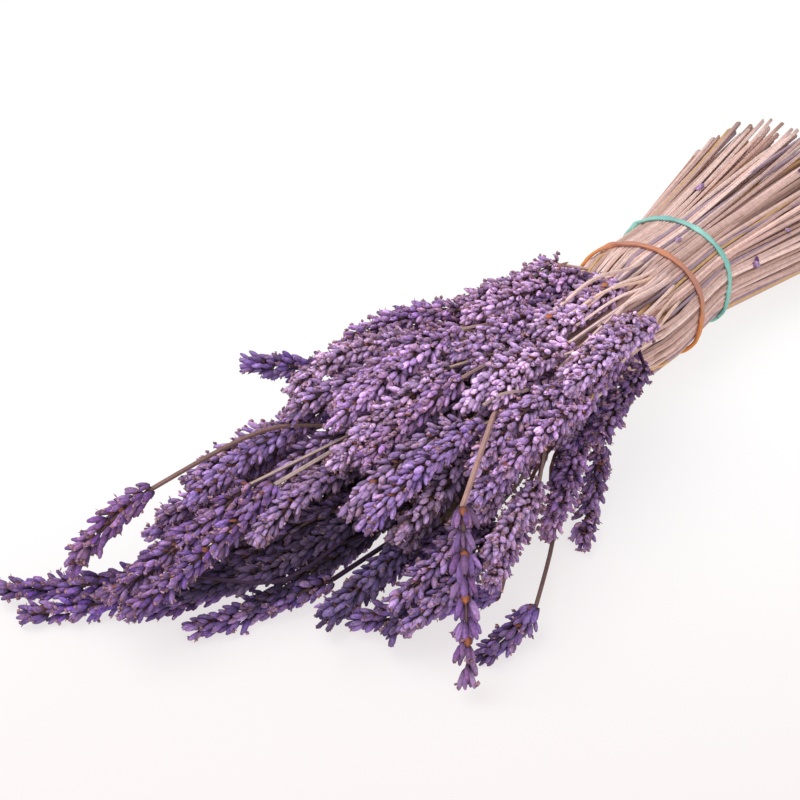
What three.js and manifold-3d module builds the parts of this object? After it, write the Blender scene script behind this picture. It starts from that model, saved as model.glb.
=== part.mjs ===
// A tied bunch of dried lavender, lying on a table.
//
// Units are millimetres, +Z is up and the table is z = 0. The bunch lies along X: the flower spikes
// point to +X, the cut ends of the stalks to -X, and Y runs across it. In this file x = 0 is the mint
// band; the finished group is shifted so that its origin is the middle of its footprint.
//
// A sprig is one stalk with one spike of florets. Each sprig starts on a streamline that opens out
// from the tie into the flower mass. Then all the sprigs are pressed apart, a little at a time, until
// no spike lies in its neighbour or in a stalk, as they settle when a bunch is laid down.
import * as THREE from "three";
import { mergeVertices } from "three/addons/utils/BufferGeometryUtils.js";
import Module from "manifold-3d";

const wasm = await Module();
wasm.setup();

// ---------------------------------------------------------------- driving dimensions
const SEED = 123;
const SEED_STEP = 7919; // between the seeds of two spikes
const STALK_RADIUS = 0.85;
const SPIKE = { radius: 6, core: 3.1, perRing: 5, rings: 6, shortest: 52, longest: 70 };
const HIDDEN_RINGS = 5; // rings of florets on a spike of the inner layer or the underside
const BOW = 3; // how far the middle of a spike bows out
const SWAY = 0.09; // how far round the section a spike may lean, in radians
const CLEARANCE = 0.45; // between a spike and a neighbour of another node
const TWIN_SPACING = 8; // between two spikes that grow pressed into each other
const FIRST_BASE = { near: 74, far: 46, from: 20, to: -10 }; // no spike starts nearer the tie, by its y
const STALK_ROOT = 12; // how deep a stalk is sunk in the front of the bundle
const JOINT_GAP = 0.35; // between a stalk's end and the base of its spike
const TRIM_GAP = 0.3; // left where a piece is trimmed clear of another it presses into
const TOUCH = 0.004; // cubic millimetres two pieces may share
const FLATTENED = 1; // how deep the lowest spikes are pressed flat by the table

// The outline of the bunch: where its near side (+Y) and far side (-Y) are, its top, the height at
// which it is widest, and its underside. Mass holds the values at stations 40 mm apart from the mint
// band to the far tips, and tail the value at the cut ends.
const STEP = 40;
const TAIL_LENGTH = 130;
const OUTLINE = {
  near: { tail: 58, mass: [23.5, 24, 24, 28, 36, 44, 44, 26] },
  far: { tail: -42, mass: [-26, -28, -34, -45, -58, -70, -80, -98] },
  top: { tail: 60, mass: [50, 53, 57, 60, 60, 53, 41, 25] },
  widest: { tail: 26, mass: [29, 28, 25, 21, 18, 15, 12, 10] },
  under: { tail: -3, mass: [6.5, 5, 2, 0, 0, 0, 0, 0] },
};

// Rows of spikes: the station of their middles, how many there are, and the arc they take up round
// the section, in degrees from the near side over the top.
const OVER = [4, 188];
const UNDERSIDE = [212, 328];
const ROWS = [
  { station: 84, count: 6, arc: [66, 190] },
  { station: 108, count: 10, arc: OVER },
  { station: 136, count: 12, arc: OVER },
  { station: 166, count: 11, arc: OVER },
  { station: 194, count: 11, arc: OVER },
  { station: 216, count: 8, arc: OVER },
  { station: 238, count: 2, arc: [92, 172] },
  { station: 106, count: 2, arc: UNDERSIDE },
  { station: 134, count: 2, arc: UNDERSIDE },
  { station: 166, count: 2, arc: UNDERSIDE },
  { station: 192, count: 2, arc: UNDERSIDE },
];
const STAGGER = 0.2; // how far a row is turned from the next, in spikes
const SLANT = 30; // the far side of a row lies this much further out than its middle
const FARTHEST = 280;
const OUTER_INSET = 7; // from the outline to the axis of a spike in the outer layer
const INNER_INSET = 17;
const STALK_SHARES = [0, 0.36, 0.72]; // where a stalk's points are, in shares of its length
const STALK_INSETS = [5, 12, 20]; // and how deep they lie
const BASE_DEPTH = 5; // how much deeper than its middle a spike's base lies
const HEADROOM = 4; // from the top of the outline down to the highest axis of a spike
const STALK_RISE = 3; // how far above the top of the outline a bare stalk may pass

// The spikes that stand clear of the mass and shape its outline, each from its base to its tip. Lift
// raises its middle, and elbow is a point that its bare stalk passes.
const STRAYS = [
  { base: [267, -53, 24], tip: [294, -109, 6], lift: -3 },
  { base: [263, -60, 10], tip: [298, -94, 4.5], lift: -2 },
  { base: [259, -65, 47], tip: [285, -81, 22], lift: 3, elbow: [200, -56, 44] },
  { base: [157, -52, 45], tip: [188, -84, 51], lift: 0 },
  { base: [221, -31, 8], tip: [273, -60, 4.5], lift: -1 },
  { base: [225, -15, 8], tip: [272, -42, 4.5], lift: -1 },
  { base: [188, 10, 17], tip: [240, -9, 6], lift: 0 },
  { base: [198, 37, 9], tip: [236, 1, 5.5], lift: -1, elbow: [140, 24, 13] },
  { base: [213, 30, 52], tip: [240, 51, 6], lift: 3, elbow: [172, 9, 61] },
  { base: [199, 52, 12], tip: [225, 46, 4.5], lift: -3, elbow: [142, 30, 9] },
  { base: [80, 27, 33], tip: [130, 33, 28], lift: 1 },
  { base: [112, 28, 15], tip: [156, 45, 4.5], lift: -2 },
];

const CUT_ENDS = { count: 40, root: -60, shortest: 0.8, radius: 1.4, slant: 0.12 };
// The tied bundle: the stations of its section, and how far inside the outline it is there on the near
// side and elsewhere.
const BUNDLE = {
  ridges: 36,
  ridgeDepth: 1.2,
  sections: [
    { station: -84, near: 8, far: 8 },
    { station: -56, near: 0, far: 0 },
    { station: -28, near: 0, far: 0 },
    { station: 0, near: 0, far: 0 },
    { station: 26, near: 0, far: 0 },
    { station: 52, near: 2, far: 8 },
    { station: 72, near: 9, far: 16 },
  ],
};
const FRONT = 52; // where the stalks start to part
const BUNDLE_RADII = [22, 18]; // the bundle as the spikes feel it, at the mint band and its front end
const BAND = { width: 2.6, thickness: 1.5, gap: 0.4, steps: 28 };
const BANDS = [
  { name: "band_mint", station: 0, slant: 0, colour: 0x86cdbd },
  { name: "band_amber", station: 30, slant: -0.19, colour: 0xb8693f },
];

// The heart of the flower mass, where the stalks run together before each turns out to its spike.
const HEART = { stations: [44, 80, 120, 165], radii: [13, 12, 10, 6], sides: 10, drop: 5 };
const COLOURS = { stalks: 0xb39a80, spikes: 0x6a5590 };

// ---------------------------------------------------------------- small helpers
// A linear congruential generator, so that the bunch is the same each time it is made.
function seeded(seed) {
  let state = seed;
  return () => {
    state = (Math.imul(state, 1664525) + 1013904223) >>> 0;
    return state / 4294967296;
  };
}

const random = seeded(SEED);
const between = (low, high) => low + (high - low) * random();
const radians = (degrees) => (degrees * Math.PI) / 180;
const vec = (x, y, z) => new THREE.Vector3(x, y, z);

// The value of one side of the outline at a station: straight along the tail, smooth along the mass.
function outline({ tail, mass }, station) {
  if (station < 0) return THREE.MathUtils.lerp(mass[0], tail, -station / TAIL_LENGTH);
  const span = Math.min(station / STEP, mass.length - 1);
  const i = Math.min(Math.floor(span), mass.length - 2);
  const t = span - i;
  return mass[i] + (mass[i + 1] - mass[i]) * t * t * (3 - 2 * t);
}

// The point of the bunch at a station, an angle round its section, and an inset from the outline.
function inBunch(station, angle, inset) {
  const [near, far, top, widest, under] = Object.values(OUTLINE).map((side) => outline(side, station));
  const [cosine, sine] = [Math.cos(angle), Math.sin(angle)];
  const across = Math.max((near - far) / 2 - inset, 0);
  const height = Math.max((sine > 0 ? top - widest : widest - under) - inset, 0);
  return vec(station, (near + far) / 2 + across * cosine, widest + height * sine);
}

// ---------------------------------------------------------------- layout
const BASE = 3; // a sprig's points: tie, stalk, stalk, base, middle and tip of the spike
const MIDDLE = 4;
const TIP = 5;

function makeSprig(points, twin, rest) {
  const [base, middle, tip] = [points[BASE], points[MIDDLE], points[TIP]];
  const bow = middle.clone().addScaledVector(base, -0.5).addScaledVector(tip, -0.5);
  const half = (base.distanceTo(middle) + middle.distanceTo(tip)) / 2;
  return { points, home: points.map((p) => p.clone()), bow, half, twin, ...rest };
}

// A sprig of a row: its stalk keeps its angle round the section all the way from the tie.
function rowSprig(station, angle, inset, rings, twin) {
  const half = between(SPIKE.shortest, SPIKE.longest) / 2;
  const sway = between(-SWAY, SWAY);
  const start = station - half;
  const points = STALK_SHARES.map((share, k) => inBunch(start * share, angle, STALK_INSETS[k]));
  points.push(inBunch(start, angle, inset + BASE_DEPTH));
  points.push(inBunch(station, angle + sway / 2, inset));
  points.push(inBunch(station + half, angle + sway, inset - 1));
  points[MIDDLE].add(vec(0, between(-BOW, BOW), between(0, BOW)));
  return makeSprig(points, twin, { rings, stray: false, elbowed: false });
}

function straySprig({ base, tip, lift, elbow }, twin) {
  const [root, end] = [vec(...base), vec(...tip)];
  const middle = root.clone().lerp(end, 0.5).add(vec(0, 0, lift));
  const angle = Math.atan2(root.z - 20, root.y);
  const tie = inBunch(0, angle, 7);
  const bend = elbow ? vec(...elbow) : tie.clone().lerp(root, 0.7);
  const points = [tie, tie.clone().lerp(bend, 0.5), bend, root, middle, end];
  return makeSprig(points, twin, { rings: SPIKE.rings, stray: true, elbowed: Boolean(elbow) });
}

function layOut() {
  let twin = STRAYS.length;
  const sprigs = STRAYS.map(straySprig);
  ROWS.forEach((row, r) => {
    const [from, to] = row.arc;
    for (let i = 0; i < row.count; i += 1) {
      const place = (i + 0.5 + STAGGER * (r % 2 ? 1 : -1) + between(-0.1, 0.1)) / row.count;
      const angle = radians(from + (to - from) * place);
      const slant = SLANT * Math.cos(angle) * (row.station / FARTHEST);
      const station = row.station - slant + between(-8, 8);
      twin += (i + 1) % 2;
      const inner = row.arc === OVER && (Math.floor(i / 2) + r) % 2 === 1;
      const rings = inner || row.arc === UNDERSIDE ? HIDDEN_RINGS : SPIKE.rings;
      sprigs.push(rowSprig(station, angle, inner ? INNER_INSET : OUTER_INSET, rings, twin));
    }
  });
  return sprigs.map((sprig, i) => ({ ...sprig, seed: SEED + i * SEED_STEP }));
}

// ---------------------------------------------------------------- pressing the sprigs apart
const ROUNDS = 300;
const FREE_ROUNDS = 90; // the last rounds, in which nothing pulls a sprig back home
const HOLD = 0.03; // how strongly a sprig is pulled back home
const STALK_WEIGHT = 1; // the lighter of two pieces that touch gives way more
const SPIKE_WEIGHT = 3;
const STRAY_WEIGHT = 1000; // a stray's spike stays where it is
const SPIKE_TAPER = [0.86, 1, 0.6]; // a spike's radius at its base, middle and tip
const FAR_APART = 150; // pieces that start this far apart can't touch
const EAGERNESS = 1.2; // how much of the wanted move a round makes
const TWIN_PULL = { middle: 0.4, end: 0.15 };
const BOW_PULL = 0.5; // how fast a spike takes its bow again
const LEAD_PULL = 0.12; // how fast a stalk turns into line with its spike
const SLACK_PULL = 0.05; // how fast a stalk straightens

// The straight pieces of a sprig: three of bare stalk, then two of spike.
function segmentsOf(sprig, index) {
  return [0, 1, 2, 3, 4].map((k) => {
    const spike = k >= BASE;
    const thick = SPIKE_TAPER.slice(Math.max(k - BASE, 0)).map((r) => r * SPIKE.radius);
    const radii = spike ? thick.slice(0, 2) : [STALK_RADIUS, STALK_RADIUS];
    const spikeWeight = sprig.stray ? STRAY_WEIGHT : SPIKE_WEIGHT;
    const weight = spike ? spikeWeight : STALK_WEIGHT;
    const [a, b] = sprig.points.slice(k);
    return { index, k, spike, radii, weight, twin: sprig.twin, a, b };
  });
}

const scratch = { u: vec(), v: vec(), w: vec() };

// The shares along two segments at which they come closest.
function closestShares(first, second) {
  const u = scratch.u.subVectors(first.b, first.a);
  const v = scratch.v.subVectors(second.b, second.a);
  const w = scratch.w.subVectors(first.a, second.a);
  const [uu, vv, uv, uw, vw] = [u.dot(u), v.dot(v), u.dot(v), u.dot(w), v.dot(w)];
  const spread = Math.max(uu * vv - uv * uv, 1e-9);
  let s = THREE.MathUtils.clamp((uv * vw - vv * uw) / spread, 0, 1);
  const t = THREE.MathUtils.clamp((uv * s + vw) / vv, 0, 1);
  s = THREE.MathUtils.clamp((uv * t - uw) / uu, 0, 1);
  return [s, t];
}

// How far two segments have to move apart, as a vector for the first and the shares where they touch.
function contact(first, second) {
  const [s, t] = closestShares(first, second);
  const apart = vec().lerpVectors(first.a, first.b, s).sub(vec().lerpVectors(second.a, second.b, t));
  const reach = THREE.MathUtils.lerp(...first.radii, s) + THREE.MathUtils.lerp(...second.radii, t);
  const twins = first.twin === second.twin && first.spike && second.spike;
  const wanted = twins ? TWIN_SPACING : reach + CLEARANCE;
  const distance = Math.max(apart.length(), 1e-6);
  return { s, t, move: apart.multiplyScalar((wanted - distance) / distance), distance, wanted };
}

function pushPoint(pushes, segment, end, move, weight) {
  if (segment.fixed) return;
  const push = pushes[segment.index][segment.k + end];
  push.move.addScaledVector(move, weight);
  push.count += Math.abs(weight);
}

// Shares one contact out over the ends of its two segments. The lighter one gives way more.
function pushApart(pushes, first, second, { s, t, move }) {
  const yields = second.fixed ? 1 : second.weight / (first.weight + second.weight);
  pushPoint(pushes, first, 0, move, yields * (1 - s));
  pushPoint(pushes, first, 1, move, yields * s);
  pushPoint(pushes, second, 0, move, -(1 - yields) * (1 - t));
  pushPoint(pushes, second, 1, move, -(1 - yields) * t);
}

function applyContacts(sprigs, segments) {
  const pushes = sprigs.map((s) => s.points.map(() => ({ move: vec(), count: 0 })));
  const spikes = segments.filter((segment) => segment.spike);
  for (const first of spikes) {
    for (const second of segments) {
      if (second.index === first.index || (second.spike && second.index < first.index)) continue;
      if (first.a.distanceToSquared(second.a) > FAR_APART ** 2) continue;
      const touch = contact(first, second);
      if (touch.distance < touch.wanted) pushApart(pushes, first, second, touch);
    }
  }
  sprigs.forEach((sprig, i) => {
    for (let k = 1; k <= TIP; k += 1) {
      const { move, count } = pushes[i][k];
      sprig.points[k].addScaledVector(move, EAGERNESS / Math.max(1, count));
    }
  });
}

// Holds a twin's spike against its mate's.
function drawTwins(sprigs) {
  for (let i = 1; i < sprigs.length; i += 1) {
    const [first, second] = [sprigs[i - 1], sprigs[i]];
    if (first.twin !== second.twin) continue;
    for (const k of [BASE, MIDDLE, TIP]) {
      const apart = vec().subVectors(second.points[k], first.points[k]);
      const excess = Math.max(apart.length() - TWIN_SPACING, 0);
      apart.setLength(excess * (k === MIDDLE ? TWIN_PULL.middle : TWIN_PULL.end));
      first.points[k].add(apart);
      second.points[k].sub(apart);
    }
  }
}

// Where the spikes start: on the near side the stalks stay bare for longer.
function firstBase(y) {
  const { near, far, from, to } = FIRST_BASE;
  return THREE.MathUtils.lerp(near, far, THREE.MathUtils.clamp((from - y) / (from - to), 0, 1));
}

function keepBelowTop(p) {
  p.z = Math.min(p.z, outline(OUTLINE.top, p.x) - HEADROOM);
}

// Keeps a spike its length and bow, leads its stalk straight into it, and keeps it on the table.
function holdShape({ points, home, bow, half, stray, elbowed }) {
  const [, elbow, neck, base, middle, tip] = points;
  if (stray) [base, middle, tip].forEach((p, i) => p.copy(home[BASE + i]));
  const wanted = base.clone().lerp(tip, 0.5).add(bow);
  middle.lerp(wanted, BOW_PULL);
  for (const end of [base, tip]) {
    const arm = vec().subVectors(end, middle);
    const change = arm.clone().setLength(half - arm.length());
    end.addScaledVector(change, 0.5);
    middle.addScaledVector(change, -0.5);
  }
  const lead = vec().subVectors(base, middle).setLength(base.distanceTo(neck));
  if (!elbowed) neck.lerp(lead.add(base), LEAD_PULL);
  elbow.lerp(points[0].clone().lerp(neck, 0.5), SLACK_PULL);
  [base, middle, tip].forEach((p, i) => {
    p.z = Math.max(p.z, SPIKE.radius * SPIKE_TAPER[i] - FLATTENED);
  });
  base.x = Math.max(base.x, firstBase(base.y));
  if (!stray) [base, middle, tip].forEach(keepBelowTop);
  [elbow, neck].forEach((p) => {
    p.z = THREE.MathUtils.clamp(p.z, 2 * STALK_RADIUS, outline(OUTLINE.top, p.x) + STALK_RISE);
  });
}

const BUNDLE_AXIS = [vec(0, 0, 29), vec(FRONT, -2, 29)];

// The middle of the section at a station, a little below half its height.
function heartAt(station) {
  const [near, far, top, , under] = Object.values(OUTLINE).map((side) => outline(side, station));
  return vec(station, (near + far) / 2, (top + under) / 2 - HEART.drop);
}

// The bundle and the heart of the mass, which the spikes lie round.
function fixedPieces() {
  const { stations, radii } = HEART;
  const bundle = { fixed: true, radii: BUNDLE_RADII, a: BUNDLE_AXIS[0], b: BUNDLE_AXIS[1] };
  const heart = stations.slice(1).map((station, i) => ({
    fixed: true,
    radii: [radii[i], radii[i + 1]],
    a: heartAt(stations[i]),
    b: heartAt(station),
  }));
  return [bundle, ...heart];
}

function settle(sprigs) {
  const segments = [...sprigs.flatMap(segmentsOf), ...fixedPieces()];
  for (let round = 0; round < ROUNDS; round += 1) {
    applyContacts(sprigs, segments);
    drawTwins(sprigs);
    if (round < ROUNDS - FREE_ROUNDS) {
      for (const { points, home } of sprigs) points.forEach((p, k) => p.lerp(home[k], HOLD));
    }
    sprigs.forEach(holdShape);
  }
}

// ---------------------------------------------------------------- solids
// A closed geometry as a solid that can be joined and cut.
function toSolid(geometry) {
  const bare = geometry.clone();
  for (const name of ["normal", "uv"]) bare.deleteAttribute(name);
  const merged = mergeVertices(bare, 1e-4);
  const mesh = new wasm.Mesh({
    numProp: 3,
    vertProperties: merged.attributes.position.array,
    triVerts: new Uint32Array(merged.index.array),
  });
  return new wasm.Manifold(mesh);
}

// The largest connected body of a solid, as a geometry.
function toGeometry(solid) {
  const bodies = solid.decompose().sort((a, b) => b.volume() - a.volume());
  const { vertProperties, triVerts } = bodies[0].getMesh();
  const geometry = new THREE.BufferGeometry();
  geometry.setAttribute("position", new THREE.BufferAttribute(vertProperties, 3));
  geometry.setIndex(new THREE.BufferAttribute(triVerts, 1));
  geometry.computeVertexNormals();
  return geometry;
}

function fromTriangles(vertices, triangles) {
  const geometry = new THREE.BufferGeometry();
  const flat = vertices.flatMap((v) => [v.x, v.y, v.z]);
  geometry.setAttribute("position", new THREE.Float32BufferAttribute(flat, 3));
  geometry.setIndex(triangles.flat());
  return geometry;
}

// Everything above the table, to trim what is pressed flat against it.
function aboveTable() {
  return toSolid(new THREE.BoxGeometry(1000, 1000, 400).translate(0, 0, 200));
}

const join = (solids) => solids.slice(1).reduce((whole, solid) => whole.add(solid), solids[0]);

// ---------------------------------------------------------------- spikes
// A spike swells from its base and narrows to a blunt tip.
const spikeProfile = (t) => Math.min(1, 0.74 + 1.1 * t) * (1 - 0.5 * Math.max(0, (t - 0.5) / 0.5) ** 2);

// The curve through a spike's base, middle and tip.
function spikeAxis({ points }) {
  const [base, middle, tip] = points.slice(BASE);
  const control = middle.clone().multiplyScalar(2).sub(base.clone().lerp(tip, 0.5));
  return new THREE.QuadraticBezierCurve3(base, control, tip);
}

// A spike is a core covered with florets in rings, each turned half a floret from the last. A floret
// stands on a diamond of the core's vertices: the two beside it on its own ring, the one behind and
// the one before. Its point leans forward over the one before.
function spikeGeometry(sprig, grown) {
  const { radius, core, perRing } = SPIKE;
  const { rings } = sprig;
  const axis = spikeAxis(sprig);
  const draw = seeded(sprig.seed);
  const roll = draw() * Math.PI;
  const pitch = axis.getLength() / rings;
  const around = (t, turn, distance, forward) => {
    const tangent = axis.getTangent(t);
    const side = vec(0, 0, 1).cross(tangent).normalize();
    const over = tangent.clone().cross(side);
    const angle = roll + (turn * 2 * Math.PI) / perRing;
    const out = side.multiplyScalar(Math.cos(angle)).addScaledVector(over, Math.sin(angle));
    const ends = (t === 1 ? grown : 0) - (t === 0 ? grown : 0);
    const along = tangent.multiplyScalar(forward + ends);
    return axis.getPoint(t).addScaledVector(out, distance + grown).add(along);
  };
  const vertices = [];
  const triangles = [];
  const at = (ring, j) => ring * perRing + ((j + perRing) % perRing);
  for (let ring = 0; ring <= rings; ring += 1) {
    const t = ring / rings;
    for (let j = 0; j < perRing; j += 1) {
      vertices.push(around(t, j + (ring % 2) / 2, core * spikeProfile(t), 0));
    }
  }
  for (let ring = 0; ring <= rings; ring += 1) {
    for (let j = 0; j < perRing; j += 1) {
      const [left, right] = [at(ring, j), at(ring, j + 1)];
      const [behind, before] = [ring - 1, ring + 1].map((next) => at(next, j + (ring % 2)));
      if (ring === 0) triangles.push([left, right, before]);
      else if (ring === rings) triangles.push([behind, right, left]);
      else {
        const t = ring / rings;
        const turn = j + 0.5 + (ring % 2) / 2 + 0.12 * (draw() - 0.5);
        const reach = radius * spikeProfile(t + 0.5 / rings) * (0.9 + 0.13 * draw());
        vertices.push(around(t, turn, reach, pitch * (0.72 + 0.18 * draw())));
        const point = vertices.length - 1;
        triangles.push([behind, right, point], [right, before, point]);
        triangles.push([before, left, point], [left, behind, point]);
      }
    }
  }
  for (let j = 1; j < perRing - 1; j += 1) {
    triangles.push([at(0, 0), at(0, j + 1), at(0, j)]);
    triangles.push([at(rings, 0), at(rings, j), at(rings, j + 1)]);
  }
  return fromTriangles(vertices, triangles);
}

// ---------------------------------------------------------------- stalks
const centroid = (ring) => ring.reduce((sum, p) => sum.add(p), vec(0, 0, 0)).divideScalar(ring.length);

// A closed sweep: rings of points, all with the same count, joined side by side and capped.
function loft(rings) {
  const count = rings[0].length;
  const triangles = [];
  const at = (ring, j) => ring * count + (j % count);
  for (let ring = 0; ring + 1 < rings.length; ring += 1) {
    for (let j = 0; j < count; j += 1) {
      triangles.push([at(ring, j), at(ring, j + 1), at(ring + 1, j + 1)]);
      triangles.push([at(ring, j), at(ring + 1, j + 1), at(ring + 1, j)]);
    }
  }
  const last = rings.length - 1;
  const middles = [rings[0], rings[last]].map(centroid);
  const vertices = [...rings.flat(), ...middles];
  for (let j = 0; j < count; j += 1) {
    triangles.push([vertices.length - 2, at(0, j + 1), at(0, j)]);
    triangles.push([vertices.length - 1, at(last, j), at(last, j + 1)]);
  }
  return fromTriangles(vertices, triangles);
}

// A thin three-sided stalk along a line of points.
function stalkGeometry(points, radius) {
  const rings = points.map((p, i) => {
    const ahead = points[Math.min(i + 1, points.length - 1)];
    const back = points[Math.max(i - 1, 0)];
    const tangent = vec().subVectors(ahead, back).normalize();
    const side = vec(0, 0, 1).cross(tangent).normalize();
    const over = tangent.clone().cross(side);
    return [90, 210, 330].map(radians).map((a) => p.clone().addScaledVector(side, Math.cos(a) * radius)
      .addScaledVector(over, Math.sin(a) * radius));
  });
  return loft(rings);
}

// The bare stalk of a sprig, from inside the bundle to just short of its spike.
function sprigStalk({ points }) {
  const line = points.slice(0, BASE + 1).map((p) => p.clone());
  const root = FRONT - STALK_ROOT;
  while (line.length > 2 && line[1].x < root) line.shift();
  const share = (root - line[0].x) / (line[1].x - line[0].x);
  line[0].lerp(line[1], THREE.MathUtils.clamp(share, 0, 0.95));
  const end = line.length - 1;
  line[end].sub(vec().subVectors(line[end], line[end - 1]).setLength(JOINT_GAP));
  return stalkGeometry(line, STALK_RADIUS);
}

// The tied bundle: a tight body whose skin is ridged by the stalks that run along it.
function bundleGeometry() {
  const { sections, ridges, ridgeDepth } = BUNDLE;
  const rings = sections.map(({ station, near, far }) => {
    return Array.from({ length: 2 * ridges }, (_, j) => {
      const angle = (j * Math.PI) / ridges;
      const inset = THREE.MathUtils.lerp(far, near, THREE.MathUtils.smoothstep(Math.cos(angle), 0, 0.5));
      return inBunch(station, angle, inset + (j % 2 ? ridgeDepth : 0));
    });
  });
  return loft(rings);
}

function heartGeometry() {
  const { stations, radii, sides } = HEART;
  const rings = stations.map((station, s) => Array.from({ length: sides }, (_, j) => {
    const angle = (j * 2 * Math.PI) / sides;
    return heartAt(station).add(vec(0, Math.cos(angle), Math.sin(angle)).multiplyScalar(radii[s]));
  }));
  return loft(rings);
}

// The cut ends: stalks that fan out of the bundle behind the bands, some cut shorter than others.
function cutEnds() {
  const { count, root, shortest, radius, slant } = CUT_ENDS;
  const stalks = [];
  for (let i = 0; i < count; i += 1) {
    const angle = (i * 2 * Math.PI) / count + between(-0.05, 0.05);
    const inset = i % 3 === 2 ? between(6, 20) : 1.2;
    const end = -TAIL_LENGTH * between(shortest, 1) * (1 + slant * (Math.cos(angle) - 1));
    const twist = between(-0.08, 0.08);
    const points = [inBunch(root, angle, inset + 2), inBunch(end, angle + twist, inset)];
    stalks.push(stalkGeometry(points, radius));
  }
  return stalks;
}

// ---------------------------------------------------------------- bands
// A rubber band: a rounded section carried round the bundle, a little clear of its skin.
function bandGeometry({ station, slant }) {
  const { width, thickness, gap, steps } = BAND;
  const section = [0, 60, 120, 180, 240, 300].map(radians);
  const count = section.length;
  const vertices = [];
  const triangles = [];
  for (let i = 0; i < steps; i += 1) {
    const angle = (i * 2 * Math.PI) / steps;
    for (const turn of section) {
      const out = gap + (thickness / 2) * (1 + Math.sin(turn));
      const middle = station + slant * inBunch(station, angle, 0).y;
      vertices.push(inBunch(middle, angle, -out).setX(middle + (width / 2) * Math.cos(turn)));
    }
    for (let k = 0; k < count; k += 1) {
      const [a, b] = [i * count + k, i * count + ((k + 1) % count)];
      const [c, d] = [((i + 1) % steps) * count + k, ((i + 1) % steps) * count + ((k + 1) % count)];
      triangles.push([a, b, c], [b, d, c]);
    }
  }
  return fromTriangles(vertices, triangles);
}

// ---------------------------------------------------------------- assembly
const sprigs = layOut();
settle(sprigs);
const table = aboveTable();
const group = new THREE.Group();
const made = []; // the solids of the spikes so far, each with a copy grown by the trim gap

// Cuts away where a solid presses into one made before it.
function trimmed(solid) {
  return made.reduce((rest, earlier) => {
    const shared = rest.intersect(earlier.solid).volume();
    return shared > TOUCH ? rest.subtract(earlier.grown) : rest;
  }, solid);
}

function addMesh(name, solid, colour) {
  const material = new THREE.MeshStandardMaterial({ color: colour, roughness: 0.9, metalness: 0 });
  const mesh = new THREE.Mesh(toGeometry(solid), material);
  mesh.name = name;
  group.add(mesh);
}

const twins = Map.groupBy(sprigs, (sprig) => sprig.twin);
let number = 0;
for (const mates of twins.values()) {
  number += 1;
  const [plain, grown] = [0, TRIM_GAP].map((gap) => {
    return join(mates.map((sprig) => toSolid(spikeGeometry(sprig, gap))));
  });
  const solid = trimmed(plain.intersect(table));
  made.push({ solid, grown: grown.add(solid) });
  addMesh(`spike_${String(number).padStart(2, "0")}`, solid, COLOURS.spikes);
}
const bare = [bundleGeometry(), heartGeometry(), ...sprigs.map(sprigStalk), ...cutEnds()].map(toSolid);
addMesh("stalks", trimmed(join(bare).intersect(table)), COLOURS.stalks);
for (const band of BANDS) addMesh(band.name, toSolid(bandGeometry(band)), band.colour);

const middle = new THREE.Box3().setFromObject(group).getCenter(vec());
for (const { geometry } of group.children) geometry.translate(-middle.x, -middle.y, 0);

export default group;
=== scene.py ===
"""A tied bunch of dried lavender that lies on a pale table, dressed for a picture.

Lengths are millimetres in the bunch's own frame, where x = 0 is the mint band, the flower spikes
point to +X, the cut ends of the stalks to -X and z = 0 is the table. They become metres in the
frame's own place when a mesh is made. Shapes are numpy arrays of whole surfaces: the buds, petals,
bracts, stalks and bands are all closed tubes, which is a profile carried along a path.
"""

import logging
import math
from collections.abc import Mapping
from dataclasses import dataclass, field
from enum import Enum

import bpy
import numpy as np
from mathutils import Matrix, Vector
from numpy.typing import NDArray


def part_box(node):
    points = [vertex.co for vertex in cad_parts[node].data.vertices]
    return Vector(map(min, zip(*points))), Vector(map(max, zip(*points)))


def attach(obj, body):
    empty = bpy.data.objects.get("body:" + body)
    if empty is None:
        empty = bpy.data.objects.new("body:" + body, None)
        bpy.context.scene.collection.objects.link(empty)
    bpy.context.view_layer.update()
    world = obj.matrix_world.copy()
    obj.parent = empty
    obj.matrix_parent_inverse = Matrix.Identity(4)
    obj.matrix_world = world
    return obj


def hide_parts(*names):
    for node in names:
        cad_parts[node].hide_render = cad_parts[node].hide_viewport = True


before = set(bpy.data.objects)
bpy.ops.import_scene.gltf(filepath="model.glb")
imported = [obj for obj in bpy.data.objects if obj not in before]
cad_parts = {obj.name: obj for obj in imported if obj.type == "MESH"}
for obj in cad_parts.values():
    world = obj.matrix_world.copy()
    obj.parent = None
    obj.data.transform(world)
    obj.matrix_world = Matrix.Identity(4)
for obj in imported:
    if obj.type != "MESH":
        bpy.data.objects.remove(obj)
Array = NDArray[np.float64]
Whole = NDArray[np.int64]
Flags = NDArray[np.bool_]
Triple = tuple[float, float, float]
Random = np.random.Generator

SEED = 123
MM = 0.001
UP = np.array([0.0, 0.0, 1.0])
TAIL_LENGTH = 130.0  # from the mint band to the longest cut end
STEP = 40.0  # between two marks of the outline of the flower mass
FARTHEST = 280.0  # the station of the far tips
log = logging.getLogger("lavender")


def linear(colour: Triple) -> Array:
    """A colour on the 0 to 255 scale of a screen as linear light.

    Args:
        colour: red, green and blue.

    Returns:
        The three shares of light: (c + 0.055) / 1.055 to the power 2.4, for c from 0 to 1.
    """
    return ((np.array(colour) / 255 + 0.055) / 1.055) ** 2.4


def unit(vectors: Array) -> Array:
    """The vectors scaled to length one.

    Args:
        vectors: an array whose last axis holds x, y and z.

    Returns:
        The same array with each vector divided by its length.
    """
    return vectors / np.maximum(np.linalg.norm(vectors, axis=-1, keepdims=True), 1e-12)


def smooth(value: Array, low: float, high: float) -> Array:
    """A smooth step: 0 below low, 1 above high, and t²(3 - 2t) between them."""
    t = np.clip((value - low) / (high - low), 0, 1)
    return t * t * (3 - 2 * t)


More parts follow.
